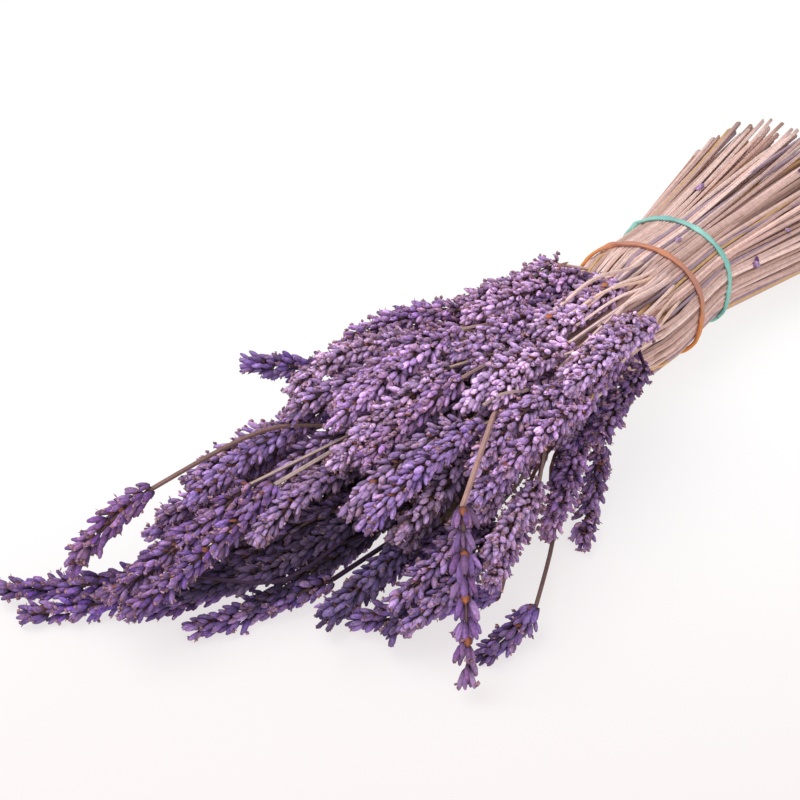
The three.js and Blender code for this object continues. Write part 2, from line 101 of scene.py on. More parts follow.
def kept_in(points: Array, soft: float = 1.2, knee: float = 61.5, give: float = 2.3) -> Array:
    """Presses flat what would sink into the table, and presses down what would stand over the top.

    Args:
        points: points in millimetres.
        soft: the height below which the table is felt.
        knee: the height above which the top is felt.
        give: how far above that the highest point may come.

    Returns:
        The points, with each height h under the soft height s turned into s · exp((h - s) / s), and each
        one over the knee k into k + g · (1 - exp((k - h) / g)).
    """
    pressed = points.copy()
    height = pressed[..., 2]
    low = soft * np.exp((np.minimum(height, soft) - soft) / soft)
    high = knee + give * (1 - np.exp((knee - np.maximum(height, knee)) / give))
    pressed[..., 2] = np.where(height < soft, low, np.where(height > knee, high, height))
    return pressed


class Draw:
    """The simple sequence of random numbers that places the sprigs, the same one as in the CAD part."""

    def __init__(self, seed: int) -> None:
        """Starts the sequence at a seed."""
        self.state = seed

    def between(self, low: float, high: float) -> float:
        """The next number of the sequence, between low and high."""
        self.state = (self.state * 1664525 + 1013904223) % 2**32
        return low + (high - low) * self.state / 2**32


# ---------------------------------------------------------------- the outline of the bunch
@dataclass(frozen=True)
class Side:
    """One side of the bunch: its value at the cut ends and at marks 40 mm apart along the mass."""

    tail: float
    mass: tuple[float, ...]

    def at(self, station: Array) -> Array:
        """The side at some stations.

        Args:
            station: distances from the mint band along the bunch.

        Returns:
            A straight line along the tail, and between two marks a smooth step from one to the next.
        """
        marks = np.array(self.mass)
        span = np.clip(station / STEP, 0, len(marks) - 1)
        i = np.minimum(np.floor(span), len(marks) - 2).astype(int)
        t = span - i
        front = marks[i] + (marks[i + 1] - marks[i]) * t * t * (3 - 2 * t)
        return np.where(station < 0, marks[0] + (self.tail - marks[0]) * -station / TAIL_LENGTH, front)


@dataclass(frozen=True)
class Outline:
    """The outline of the whole bunch, as its five sides, and how far the bundle sags in it."""

    near: Side = Side(58, (23.5, 24, 24, 28, 36, 44, 44, 26))
    far: Side = Side(-42, (-26, -28, -34, -45, -58, -70, -80, -98))
    top: Side = Side(60, (50, 53, 57, 60, 60, 53, 41, 25))
    widest: Side = Side(26, (29, 28, 25, 21, 18, 15, 12, 10))
    under: Side = Side(-3, (6.5, 5, 2, 0, 0, 0, 0, 0))
    sag: float = 0.15  # as a share of the half size
    sag_ends: tuple[float, float] = (50, 90)  # the stations between which it fades

    def section(self, station: Array, upper: Flags) -> tuple[Array, Array, Array, Array]:
        """The middle and half sizes of the section: y, z, half the width, and the height to one side."""
        near, far, top, widest, under = (
            side.at(station) for side in (self.near, self.far, self.top, self.widest, self.under)
        )
        return (near + far) / 2, widest, (near - far) / 2, np.where(upper, top - widest, widest - under)

    def point(self, station: Array, angle: Array, inset: Array, depth: Array | float = 1.0) -> Array:
        """A point of the bunch.

        Args:
            station: distance from the mint band.
            angle: the way round the section, from the near side over the top, in radians.
            inset: how far inside the outline the point is.
            depth: the share of the way from the section's middle to there.

        Returns:
            The section's middle plus depth · (half size - inset) · (cosine, sine).
        """
        station, angle, inset = np.broadcast_arrays(*(np.asarray(v, float) for v in (station, angle, inset)))
        y, z, width, height = self.section(station, np.sin(angle) > 0)
        across = y + depth * np.maximum(width - inset, 0) * np.cos(angle)
        up = z + depth * np.maximum(height - inset, 0) * np.sin(angle)
        return np.stack([station, across, up], axis=-1)

    def polar(self, points: Array) -> tuple[Array, Array]:
        """The angle and the depth of points of the bunch, the reverse of point with no inset."""
        y, z, width, height = self.section(points[..., 0], points[..., 2] > self.widest.at(points[..., 0]))
        across, up = (points[..., 1] - y) / width, (points[..., 2] - z) / height
        return np.arctan2(up, across), np.hypot(across, up)

    def sagging(self, points: Array) -> Array:
        """Points of the stalks' section, filled out where the bundle sags low on its near side.

        Args:
            points: points of the bunch.

        Returns:
            The points, each moved away from the section's middle by sag · its way from there · the
            square of the sine of twice its angle, for angles of -90° to 0, and less past the bands.
        """
        angle, _ = self.polar(points)
        low = (angle < 0) & (angle > -np.pi / 2)
        station = points[..., 0]
        push = self.sag * np.where(low, np.sin(2 * angle) ** 2, 0) * (1 - smooth(station, *self.sag_ends))
        middle, level, _, _ = self.section(station, low)
        moved = points.copy()
        moved[..., 1] += push * (points[..., 1] - middle)
        moved[..., 2] += push * (points[..., 2] - level)
        return moved


# ---------------------------------------------------------------- where the sprigs lie
@dataclass(frozen=True)
class Stray:
    """A spike that stands clear of the mass, from its base to its tip."""

    base: Triple
    tip: Triple
    lift: float
    elbow: Triple | None = None


@dataclass(frozen=True)
class Row:
    """A row of spikes: the station of their middles, how many, and the arc they take up in degrees."""

    station: float
    count: int
    start: float = 4
    end: float = 188
    over: bool = True


STRAYS = (
    Stray((267, -53, 24), (294, -109, 6), -3),
    Stray((263, -60, 10), (298, -94, 4.5), -2),
    Stray((259, -65, 47), (285, -81, 22), 3, elbow=(200, -56, 44)),
    Stray((157, -52, 45), (188, -84, 51), 0),
    Stray((221, -31, 8), (273, -60, 4.5), -1),
    Stray((225, -15, 8), (272, -42, 4.5), -1),
    Stray((188, 10, 17), (240, -9, 6), 0),
    Stray((198, 37, 9), (236, 1, 5.5), -1, elbow=(140, 24, 13)),
    Stray((213, 30, 52), (240, 51, 6), 3, elbow=(172, 9, 61)),
    Stray((199, 52, 12), (225, 46, 4.5), -3, elbow=(142, 30, 9)),
    Stray((80, 27, 33), (130, 33, 28), 1),
    Stray((112, 28, 15), (156, 45, 4.5), -2),
)
HANGING = 8  # the stray that hangs over the front edge, with its whorls apart
CURLED = 9  # the stray that stands off the near side on a bent stalk
UNDER = 7  # the stray whose stalk stays under the mass up to its spike
TIE_LEVEL = 20.0  # the height from which a stray's angle at the tie is measured
UNDERSIDE = {"start": 212, "end": 328, "over": False}
ROWS = (
    Row(84, 6, 66, 190, over=False),
    Row(108, 10),
    Row(136, 12),
    Row(166, 11),
    Row(194, 11),
    Row(216, 8),
    Row(238, 2, 92, 172, over=False),
    Row(106, 2, **UNDERSIDE),
    Row(134, 2, **UNDERSIDE),
    Row(166, 2, **UNDERSIDE),
    Row(192, 2, **UNDERSIDE),
)
FIRST_BASES = (74, 46)  # the station before which no spike starts, on the near and on the far side
BASE, MIDDLE, TIP = 3, 4, 5  # a sprig's points: tie, stalk, stalk, then base, middle and tip of its spike


@dataclass
class Sprigs:
    """All the sprigs of the bunch, each with six points, laid out and then pressed apart.

    They follow the CAD part step by step, so that each spike lies where its solid does.
    """

    outline: Outline
    spike_radius: float = 6.0
    spike_length: tuple[float, float] = (52, 70)  # the least and the most
    stalk_radius: float = 0.85
    inset: float = 7.0  # from the outline to a spike's middle, and to a stray's tie
    inner_inset: float = 17.0  # the same for the spikes of the lower layer
    sway: float = 0.09  # how far a spike may turn round the section, in radians
    drift: float = 8.0  # how far a spike may lie from its row
    slant: float = 30.0  # how far back a row lies on the near side, at the far tips
    clearance: float = 0.45
    twin_spacing: float = 8.0
    rounds: int = 300
    free_rounds: int = 90
    taper: Triple = (0.86, 1.0, 0.6)
    points: Array = field(init=False)
    twin: Whole = field(init=False)
    stray: Flags = field(init=False)
    elbowed: Flags = field(init=False)

    def __post_init__(self) -> None:
        """Lays the sprigs out and presses them apart."""
        strays = [self.stray_points(stray) for stray in STRAYS]
        rows, twins = self.row_points()
        self.points = np.array(strays + rows)
        self.twin = np.array([*range(len(STRAYS)), *twins])
        self.stray = np.arange(len(self.points)) < len(STRAYS)
        self.elbowed = np.array([s.elbow is not None for s in STRAYS] + [False] * len(rows))
        self.settle()

    def stray_points(self, stray: Stray) -> Array:
        """The six points of a stray sprig, from the tie by its elbow to its base, middle and tip."""
        base, tip = np.array(stray.base, float), np.array(stray.tip, float)
        tie = self.outline.point(0, math.atan2(base[2] - TIE_LEVEL, base[1]), self.inset)
        bend = np.array(stray.elbow, float) if stray.elbow else tie + 0.7 * (base - tie)
        middle = (base + tip) / 2 + stray.lift * UP
        return np.array([tie, (tie + bend) / 2, bend, base, middle, tip])

    def row_points(self) -> tuple[list[Array], list[int]]:
        """The six points of every sprig of the rows, and the number of the node that holds it.

        Returns:
            The points, and the numbers: the first and second spike of each pair share one.
        """
        draw = Draw(SEED)
        sprigs: list[Array] = []
        twins: list[int] = []
        twin = len(STRAYS)
        for r, row in enumerate(ROWS):
            turn = 0.2 if r % 2 else -0.2
            for i in range(row.count):
                place = (i + 0.5 + turn + draw.between(-0.1, 0.1)) / row.count
                angle = math.radians(row.start + (row.end - row.start) * place)
                slant = self.slant * math.cos(angle) * row.station / FARTHEST
                station = row.station - slant + draw.between(-self.drift, self.drift)
                twin += (i + 1) % 2
                inner = row.over and (i // 2 + r) % 2 == 1
                inset = self.inner_inset if inner else self.inset
                sprigs.append(self.row_sprig(draw, station, angle, inset))
                twins.append(twin)
        return sprigs, twins

    def row_sprig(self, draw: Draw, station: float, angle: float, inset: float) -> Array:
        """The six points of a sprig of a row, whose stalk keeps its angle all the way from the tie."""
        half = draw.between(*self.spike_length) / 2
        sway = draw.between(-self.sway, self.sway)
        start = station - half
        stations = [0, 0.36 * start, 0.72 * start, start, station, station + half]
        angles = [angle, angle, angle, angle, angle + sway / 2, angle + sway]
        insets = [5, 12, 20, inset + 5, inset, inset - 1]
        points = self.outline.point(stations, angles, insets)
        points[MIDDLE] += [0, draw.between(-3, 3), draw.between(0, 3)]
        return points

    def heart(self, station: Array) -> Array:
        """The middle of the section at a station, 5 mm below half its height."""
        o = self.outline
        y, z = (o.near.at(station) + o.far.at(station)) / 2, (o.top.at(station) + o.under.at(station)) / 2
        return np.stack([station, y, z - 5], axis=-1)

    def settle(self) -> None:
        """Presses the sprigs apart round by round until no spike lies in a neighbour or a stalk."""
        home = self.points.copy()
        ends = (home[:, BASE] + home[:, TIP]) / 2
        bow = home[:, MIDDLE] - ends
        arms = [np.linalg.norm(home[:, MIDDLE] - home[:, end], axis=1) for end in (BASE, TIP)]
        half = (arms[0] + arms[1])[:, None] / 2
        pairs = Pairs(self)
        for step in range(self.rounds):
            pairs.press(self.points)
            self.draw_twins()
            if step < self.rounds - self.free_rounds:
                self.points += 0.03 * (home - self.points)
            self.hold_shape(home, bow, half)

    def draw_twins(self) -> None:
        """Draws the two spikes of a node together, by a share of what they are apart past their spacing."""
        second = np.flatnonzero(self.twin[1:] == self.twin[:-1]) + 1
        for k, pull in ((BASE, 0.15), (MIDDLE, 0.4), (TIP, 0.15)):
            apart = self.points[second, k] - self.points[second - 1, k]
            excess = np.maximum(np.linalg.norm(apart, axis=1, keepdims=True) - self.twin_spacing, 0)
            self.points[second - 1, k] += unit(apart) * excess * pull
            self.points[second, k] -= unit(apart) * excess * pull

    def hold_shape(self, home: Array, bow: Array, half: Array) -> None:
        """Keeps each spike its length and bow, leads its stalk into it and keeps it on the table.

        Args:
            home: the points as they were laid out.
            bow: how far each spike's middle stands off the line between its ends.
            half: half the length of each spike.
        """
        p = self.points
        p[self.stray, BASE:] = home[self.stray, BASE:]
        p[:, MIDDLE] += 0.5 * ((p[:, BASE] + p[:, TIP]) / 2 + bow - p[:, MIDDLE])
        for end in (BASE, TIP):
            arm = p[:, end] - p[:, MIDDLE]
            change = unit(arm) * (half - np.linalg.norm(arm, axis=1, keepdims=True))
            p[:, end] += 0.5 * change
            p[:, MIDDLE] -= 0.5 * change
        reach = np.linalg.norm(p[:, BASE] - p[:, 2], axis=1, keepdims=True)
        lead = p[:, BASE] + unit(p[:, BASE] - p[:, MIDDLE]) * reach
        p[:, 2] += np.where(self.elbowed, 0, 0.12)[:, None] * (lead - p[:, 2])
        p[:, 1] += 0.05 * ((p[:, 0] + p[:, 2]) / 2 - p[:, 1])
        lowest = self.spike_radius * np.array(self.taper) - 1
        p[:, BASE:, 2] = np.maximum(p[:, BASE:, 2], lowest)
        near_first, far_first = FIRST_BASES
        first = near_first + (far_first - near_first) * np.clip((20 - p[:, BASE, 1]) / 30, 0, 1)
        p[:, BASE, 0] = np.maximum(p[:, BASE, 0], first)
        highest = self.outline.top.at(p[:, BASE:, 0]) - 4
        p[:, BASE:, 2] = np.where(self.stray[:, None], p[:, BASE:, 2], np.minimum(p[:, BASE:, 2], highest))
        rise = self.outline.top.at(p[:, 1:3, 0]) + 3
        p[:, 1:3, 2] = np.clip(p[:, 1:3, 2], 2 * self.stalk_radius, rise)


STRAY_WEIGHT, SPIKE_WEIGHT = 1000.0, 3.0  # how hard their pieces are to move, when a stalk's is 1
BUNDLE_ENDS = ((0, 0, 29), (52, -2, 29))
HEART_STATIONS = (44.0, 80, 120, 165)
FIXED_RADII = ((22, 18), (13, 12), (12, 10), (10, 6))  # of the bundle and the heart's three pieces


class Pairs:
    """The pairs of straight pieces of sprigs that may touch, and how they press each other apart.

    A sprig has three pieces of stalk and two of spike. The tied bundle and the heart of the mass are
    pieces that don't move.
    """

    def __init__(self, sprigs: Sprigs) -> None:
        """Lists the pairs: each piece of spike with every piece of another sprig, once."""
        count, pieces = len(sprigs.points), TIP
        owner, k = np.divmod(np.arange(count * pieces), pieces)
        spike = k >= BASE
        weight = np.where(spike, np.where(sprigs.stray[owner], STRAY_WEIGHT, SPIKE_WEIGHT), 1.0)
        taper = np.array(sprigs.taper) * sprigs.spike_radius
        ends = np.stack([taper[np.clip(k - BASE, 0, 1)], taper[np.clip(k - BASE, 0, 1) + 1]], axis=1)
        radii = np.where(spike[:, None], ends, sprigs.stalk_radius)
        hearts = sprigs.heart(np.array(HEART_STATIONS))
        self.fixed = np.stack([
            np.vstack([BUNDLE_ENDS[0], hearts[:-1]]),
            np.vstack([BUNDLE_ENDS[1], hearts[1:]]),
        ])
        fixed_radii = np.array(FIXED_RADII, float)
        self.radii = np.vstack([radii, fixed_radii])
        self.free = len(owner)
        owner = np.append(owner, [-1] * len(fixed_radii))
        spike = np.append(spike, [False] * len(fixed_radii))
        weight = np.append(weight, [np.inf] * len(fixed_radii))
        first, second = np.meshgrid(np.flatnonzero(spike), np.arange(len(owner)), indexing="ij")
        first, second = first.ravel(), second.ravel()
        once = (owner[second] != owner[first]) & ~(spike[second] & (owner[second] < owner[first]))
        self.first, self.second = first[once], second[once]
        mates = sprigs.twin[owner[self.first]] == sprigs.twin[owner[self.second]]
        self.twins = mates & spike[self.second] & (owner[self.second] >= 0)
        self.yields = 1 / (1 + weight[self.first] / weight[self.second])
        self.yields[self.second >= self.free] = 1
        self.slot = owner * (TIP + 1) + np.append(k, [0] * len(fixed_radii))
        self.clearance, self.spacing = sprigs.clearance, sprigs.twin_spacing

    def press(self, points: Array, eagerness: float = 1.2, far_apart: float = 150.0) -> None:
        """Moves the points of the sprigs so that pieces which touch come apart a little.

        Two pieces come closest at shares s and t of their lengths. The move they want is shared out
        over their four ends by those shares, and the lighter piece gives way more.

        Args:
            points: six points of each sprig, changed in place.
            eagerness: how much of the wanted move a round makes.
            far_apart: pieces that start this far apart are passed over.
        """
        starts = np.vstack([points[:, :-1].reshape(-1, 3), self.fixed[0]])
        ends = np.vstack([points[:, 1:].reshape(-1, 3), self.fixed[1]])
        f, g = self.first, self.second
        gap = starts[f] - starts[g]
        close = np.einsum("ij,ij->i", gap, gap) <= far_apart**2
        f, g, gap = f[close], g[close], gap[close]
        u, v = ends[f] - starts[f], ends[g] - starts[g]
        products = ((u, u), (v, v), (u, v), (u, gap), (v, gap))
        uu, vv, uv, uw, vw = (np.einsum("ij,ij->i", a, b) for a, b in products)
        s = np.clip((uv * vw - vv * uw) / np.maximum(uu * vv - uv * uv, 1e-9), 0, 1)
        t = np.clip((uv * s + vw) / vv, 0, 1)
        s = np.clip((uv * t - uw) / uu, 0, 1)
        apart = gap + u * s[:, None] - v * t[:, None]
        reach = (self.radii[f] * np.stack([1 - s, s], 1)).sum(1)
        reach += (self.radii[g] * np.stack([1 - t, t], 1)).sum(1)
        wanted = np.where(self.twins[close], self.spacing, reach + self.clearance)
        distance = np.maximum(np.linalg.norm(apart, axis=1), 1e-6)
        touch = distance < wanted
        move = apart[touch] * ((wanted - distance) / distance)[touch, None]
        f, g, s, t, first_share = f[touch], g[touch], s[touch], t[touch], self.yields[close][touch]
        shares = np.concatenate([
            first_share * (1 - s), first_share * s, -(1 - first_share) * (1 - t), -(1 - first_share) * t,
        ])
        slots = np.concatenate([self.slot[f], self.slot[f] + 1, self.slot[g], self.slot[g] + 1])
        moves = np.tile(move, (4, 1)) * shares[:, None]
        free = slots >= 0
        size = points.shape[0] * points.shape[1]
        total = np.stack([np.bincount(slots[free], moves[free, c], size) for c in range(3)], axis=1)
        count = np.bincount(slots[free], np.abs(shares[free]), size)
        step = eagerness * total / np.maximum(1, count)[:, None]
        points[:, 1:] += step.reshape(points.shape)[:, 1:]


# ---------------------------------------------------------------- shapes
@dataclass(frozen=True)
class Tube:
    """The faces of a closed tube: rings of vertices side by side, then a pole before and one behind.

    Vertex j of ring i is number i · sides + j, and the poles come last.
    """

    rings: int
    sides: int

    @property
    def size(self) -> int:
        """How many vertices the tube has."""
        return self.rings * self.sides + 2

    def faces(self) -> tuple[Whole, Whole]:
        """The corners of all faces in a row, and how many corners each face has."""
        i, j = np.divmod(np.arange((self.rings - 1) * self.sides), self.sides)
        ahead = (j + 1) % self.sides
        low, high = i * self.sides, (i + 1) * self.sides
        quads = np.stack([low + j, low + ahead, high + ahead, high + j], axis=1)
        j = np.arange(self.sides)
        ahead = (j + 1) % self.sides
        last = (self.rings - 1) * self.sides
        front = np.stack([np.full_like(j, self.size - 2), ahead, j], axis=1)
        back = np.stack([np.full_like(j, self.size - 1), last + j, last + ahead], axis=1)
        corners = np.concatenate([quads.ravel(), front.ravel(), back.ravel()])
        return corners, np.repeat([4, 3], [len(quads), 2 * self.sides])


@dataclass
class Shape:
    """Closed surfaces in one mesh, with a colour for each vertex and a finish for each face."""

    vertices: Array
    tint: Array
    corners: Whole
    sizes: Whole
    finish: Whole

    @staticmethod
    def of_tubes(tube: Tube, vertices: Array, tint: Array, finish: int) -> "Shape":
        """Many tubes with the same faces.

        Args:
            tube: their faces.
            vertices: one row of vertices for each tube.
            tint: red, green, blue and relief of each vertex.
            finish: the place of their finish in the piece's list.

        Returns:
            One shape, in which each tube's corners count on from those of the tube before.
        """
        copies = len(vertices)
        corners, sizes = tube.faces()
        offsets = np.arange(copies)[:, None] * tube.size
        count = copies * len(sizes)
        return Shape(
            vertices.reshape(-1, 3),
            np.broadcast_to(tint, (*vertices.shape[:2], 4)).reshape(-1, 4),
            (offsets + corners).ravel(),
            np.tile(sizes, copies),
            np.full(count, finish),
        )

    @staticmethod
    def joined(shapes: list["Shape"]) -> "Shape":
        """One shape from several, whose corners count on from shape to shape."""
        offsets = np.cumsum([0, *(len(s.vertices) for s in shapes)])
        return Shape(
            np.concatenate([s.vertices for s in shapes]),
            np.concatenate([s.tint for s in shapes]),
            np.concatenate([s.corners + offset for s, offset in zip(shapes, offsets)]),
            np.concatenate([s.sizes for s in shapes]),
            np.concatenate([s.finish for s in shapes]),
        )


@dataclass(frozen=True)
class Bead:
    """A small closed form on a unit axis, given by its radius along the axis: a bud, petal or bract."""

    heights: tuple[float, ...]
    radii: tuple[float, ...]
    sides: int = 8
    flatness: float = 1.0  # its thickness as a share of its width
    bend: float = 0.0  # how far its tip bends inwards, as a share of its length
    start: float = 0.0

    @property
    def tube(self) -> Tube:
        """The faces of the form."""
        return Tube(len(self.heights), self.sides)

    def template(self) -> Array:
        """The form's vertices: ring i at height h is radius · (flatness · cosine, sine), then the poles.

        Returns:
            Rows of (out, across, along).
        """
        angle = 2 * np.pi * np.arange(self.sides) / self.sides
        height, radius = np.array(self.heights)[:, None], np.array(self.radii)[:, None]
        out = self.flatness * radius * np.cos(angle)
        rings = np.stack([out, radius * np.sin(angle), height + 0 * angle], axis=-1).reshape(-1, 3)
        return np.vstack([rings, [[0, 0, self.start], [0, 0, 1]]])

    def copies(
        self, origins: Array, axes: Array, sizes: Array, colours: Array, light: Array, finish: int = 0
    ) -> Shape:
        """Copies of the form.

        Args:
            origins: where each copy starts.
            axes: its three directions: out, across and along.
            sizes: its size along each direction.
            colours: the colour of each copy, or of each vertex of each copy.
            light: how light each vertex is, which carries painted light and shade.
            finish: the place of their finish in the piece's list.

        Returns:
            One shape, whose vertices are origin + the sum of template · size · direction, less
            bend · along² of the length outwards.
        """
        scaled = axes * sizes[:, :, None]
        vertices = origins[:, None] + np.einsum("vk,nkc->nvc", self.template(), scaled)
        sag = self.bend * self.template()[:, 2] ** 2
        vertices = vertices - sag[None, :, None] * axes[:, None, 0] * sizes[:, None, 2:3]
        return Shape.of_tubes(self.tube, vertices, tinted(colours, light, 0 * light), finish)


def tube_along(paths: Array, radii: Array, section: Array, twist: Array, slant: Array) -> Array:
    """Tubes carried along paths.

    Args:
        paths: the points of each path.
        radii: the radius at each point.
        section: the section's radius at each side, as a share of the tube's.
        twist: how far each section is turned at each point, in radians.
        slant: how much each tube's first end is cut aslant.

    Returns:
        One row of vertices for each tube. A ring is the path's point + radius · section · (cosine ·
        side + sine · over), where side is level and over stands on side and path.
    """
    tangent = unit(np.gradient(paths, axis=1))
    side = unit(np.cross(UP, tangent))
    over = np.cross(tangent, side)
    sides = len(section)
    angle = 2 * np.pi * np.arange(sides) / sides + twist[..., None]
    reach = radii[..., None] * section
    rings = paths[:, :, None] + (reach * np.cos(angle))[..., None] * side[:, :, None]
    rings += (reach * np.sin(angle))[..., None] * over[:, :, None]
    cut = slant[:, None] * radii[:, :1] * np.cos(angle[:, 0])
    rings[:, 0] += cut[..., None] * tangent[:, :1]
    poles = paths[:, [0, -1]]
    return np.concatenate([rings.reshape(len(paths), -1, 3), poles], axis=1)


def eased(corners: Array, count: int, passes: int = 8) -> Array:
    """Smooth lines that follow lines of corners and never swing out past them.

    Args:
        corners: the corners of each line.
        count: how many points each smooth line gets.
        passes: how often the corners are rounded.

    Returns:
        Points at equal shares of each line, each moved by (before - 2 · here + after) / 4 in every
        pass, with the ends kept.
    """
    place = np.linspace(0, corners.shape[1] - 1, count)
    i = np.minimum(place.astype(int), corners.shape[1] - 2)
    t = (place - i)[None, :, None]
    line = corners[:, i] * (1 - t) + corners[:, i + 1] * t
    for _ in range(passes):
        line[:, 1:-1] += (line[:, :-2] - 2 * line[:, 1:-1] + line[:, 2:]) / 4
    return line


def tinted(colours: Array, shade: Array, relief: Array) -> Array:
    """Colours for the vertices of many copies of a form.

    Args:
        colours: one colour for each copy, or one for each vertex of each copy.
        shade: how light each vertex is, which carries painted light and shade.
        relief: how far each vertex stands out, for the bump.

    Returns:
        Red, green, blue and relief: colour · shade for each copy and vertex.
    """
    shade = np.broadcast_to(shade, (len(colours), shade.shape[-1]))
    relief = np.broadcast_to(relief, shade.shape)
    even = colours[:, None] if colours.ndim == 2 else colours
    return np.concatenate([even * shade[..., None], relief[..., None]], axis=2)


# ---------------------------------------------------------------- finishes
Inputs = Mapping[str | int, object]


class Wiring:
    """A material and the nodes that are wired up in it."""

    def __init__(self, name: str) -> None:
        """Makes the material, which starts with its shader."""
        self.material = bpy.data.materials.new(name)
        self.material.use_nodes = True
        self.tree = self.material.node_tree
        self.shader = self.tree.nodes["Principled BSDF"]

    def feed(self, node: bpy.types.Node, inputs: Inputs) -> None:
        """Feeds a node.

        Args:
            node: the node.
            inputs: for each input, by its name or number, a value or the output of a node.
        """
        for place, value in inputs.items():
            if isinstance(value, bpy.types.NodeSocket):
                self.tree.links.new(value, node.inputs[place])
            else:
                node.inputs[place].default_value = value

    def add(self, kind: str, inputs: Inputs, operation: str = "") -> bpy.types.Node:
        """Adds a node.

        Args:
            kind: what its type is called after the word ShaderNode.
            inputs: what feeds it.
            operation: what it works out, where it has a choice.

        Returns:
            The node.
        """
        node = self.tree.nodes.new(f"ShaderNode{kind}")
        if operation:
            node.operation = operation
        self.feed(node, inputs)
        return node


@dataclass(frozen=True)
class Finish:
    """A dull natural finish that takes its colour from the vertices and its grain from noise."""

    name: str
    roughness: float
    sheen: float = 0.0
    specular: float = 0.3
    grain: float = 900.0  # how fine the grain is, per metre
    mottle: float = 0.2  # how much the grain lightens and darkens
    bump: float = 0.1  # the height of the grain in millimetres
    relief: float = 0.0  # the height of the vertices' relief in millimetres

    def material(self) -> bpy.types.Material:
        """The finish as a material: vertex colour · grain, and a bump of grain and relief."""
        made = bpy.data.materials.get(self.name)
        if made:
            return made
        wiring = Wiring(self.name)
        tint = wiring.add("Attribute", {})
        tint.attribute_name = "tint"
        place = wiring.add("TexCoord", {}).outputs["Object"]
        noise = wiring.add("TexNoise", {"Vector": place, "Scale": self.grain, "Detail": 3}).outputs["Fac"]
        light = wiring.add("MapRange", {
            "Value": noise, "From Min": 0.25, "From Max": 0.75,
            "To Min": 1 - self.mottle, "To Max": 1 + self.mottle,
        }).outputs["Result"]
        colour = wiring.add("VectorMath", {0: tint.outputs["Color"], "Scale": light}, "SCALE")
        grain = wiring.add("Math", {0: noise, 1: self.bump}, "MULTIPLY").outputs["Value"]
        height = wiring.add("Math", {0: tint.outputs["Alpha"], 1: self.relief, 2: grain}, "MULTIPLY_ADD")
        bump = wiring.add("Bump", {"Distance": MM, "Height": height.outputs["Value"]})
        wiring.feed(wiring.shader, {
            "Roughness": self.roughness, "Sheen Weight": self.sheen, "Specular IOR Level": self.specular,
            "Base Color": colour.outputs["Vector"], "Normal": bump.outputs["Normal"],
        })
        return wiring.material


CALYX = Finish("dry_calyx", 0.88, sheen=0.08, grain=1100, mottle=0.4, bump=0.2, relief=0.1)
PETAL = Finish("withered_petal", 0.9, sheen=0.08, grain=1500, mottle=0.3, bump=0.15)
BRACT = Finish("papery_bract", 0.8, grain=1200, mottle=0.3, bump=0.15)
STRAW = Finish("dry_stalk", 0.75, grain=500, mottle=0.16, bump=0.1, relief=0.2)
RUBBER = Finish("rubber", 0.5, specular=0.45, grain=700, mottle=0.06, bump=0.06, relief=0.15)
SPIKE_FINISHES = (CALYX, PETAL, BRACT, STRAW)


def added(name: str, data: bpy.types.ID) -> bpy.types.Object:
    """A new object in the scene that shows some data."""
    made = bpy.data.objects.new(name, data)
    bpy.context.scene.collection.objects.link(made)
    return made


@dataclass
class Dresser:
    """Makes the meshes of the bunch and puts them in place of the CAD nodes."""

    shift: Array  # from the bunch's own frame to the CAD frame, in metres

    def dress(
        self, name: str, shape: Shape, finishes: tuple[Finish, ...], slot: str, nodes: list[str]
    ) -> None:
        """Makes one piece.

        Args:
            name: the piece's name.
            shape: its surfaces, in millimetres.
            finishes: the finishes that its faces count.
            slot: not used.
            nodes: the CAD nodes it stands for.
        """
        mesh = bpy.data.meshes.new(name)
        vertices = kept_in(shape.vertices) * MM + self.shift
        starts = np.cumsum(shape.sizes) - shape.sizes
        mesh.vertices.add(len(vertices))
        mesh.loops.add(len(shape.corners))
        mesh.polygons.add(len(shape.sizes))
        mesh.vertices.foreach_set("co", vertices.astype(np.float32).ravel())
        mesh.loops.foreach_set("vertex_index", shape.corners.astype(np.int32))
        mesh.polygons.foreach_set("loop_start", starts.astype(np.int32))
        mesh.polygons.foreach_set("material_index", shape.finish.astype(np.int32))
        mesh.polygons.foreach_set("use_smooth", np.ones(len(starts), dtype=bool))
        mesh.update(calc_edges=True)
        tint = mesh.attributes.new("tint", "FLOAT_COLOR", "POINT")
        tint.data.foreach_set("color", shape.tint.astype(np.float32).ravel())
        for finish in finishes:
            mesh.materials.append(finish.material())
        piece = added(name, mesh)
        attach(piece, "root")
        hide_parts(*nodes)
        log.info("%s: %d faces, for %s", name, len(starts), ", ".join(nodes))


# ---------------------------------------------------------------- spikes
@dataclass(frozen=True)
class Leafing:
    """How the bracts stand on a spike, in millimetres and degrees."""

    every: int  # they stand at every so many whorls
    disorder: float  # how far they stray round the stem, in radians
    lean: tuple[float, float]  # from the spike's axis, the least and the most
    root: float  # from the axis to a bract's foot
    size: Triple  # outward, across and along
    umber: tuple[float, float]  # how much umber is in their rust, the least and the most
    shaded: bool  # whether they take painted shade from the spikes round them


@dataclass(frozen=True)
class Growth:
    """How the buds stand on a spike, in millimetres and degrees."""

    pitch: float  # between two whorls
    per_whorl: int
    length: float
    width: float  # the radius of a bud
    lean: tuple[float, float]  # from the spike's axis, for every other bud
    root: float  # from the axis to the foot of a bud
    spread: float  # how evenly the buds of a whorl stand round it: 1 evenly, less in two clusters
    disorder: float  # how far the buds stray from their places
    bracts: Leafing

    def stray(self, amounts: tuple[float, float]) -> float:
        """How far buds stray in one way: the first amount, and the second by the disorder."""
        return amounts[0] + amounts[1] * self.disorder


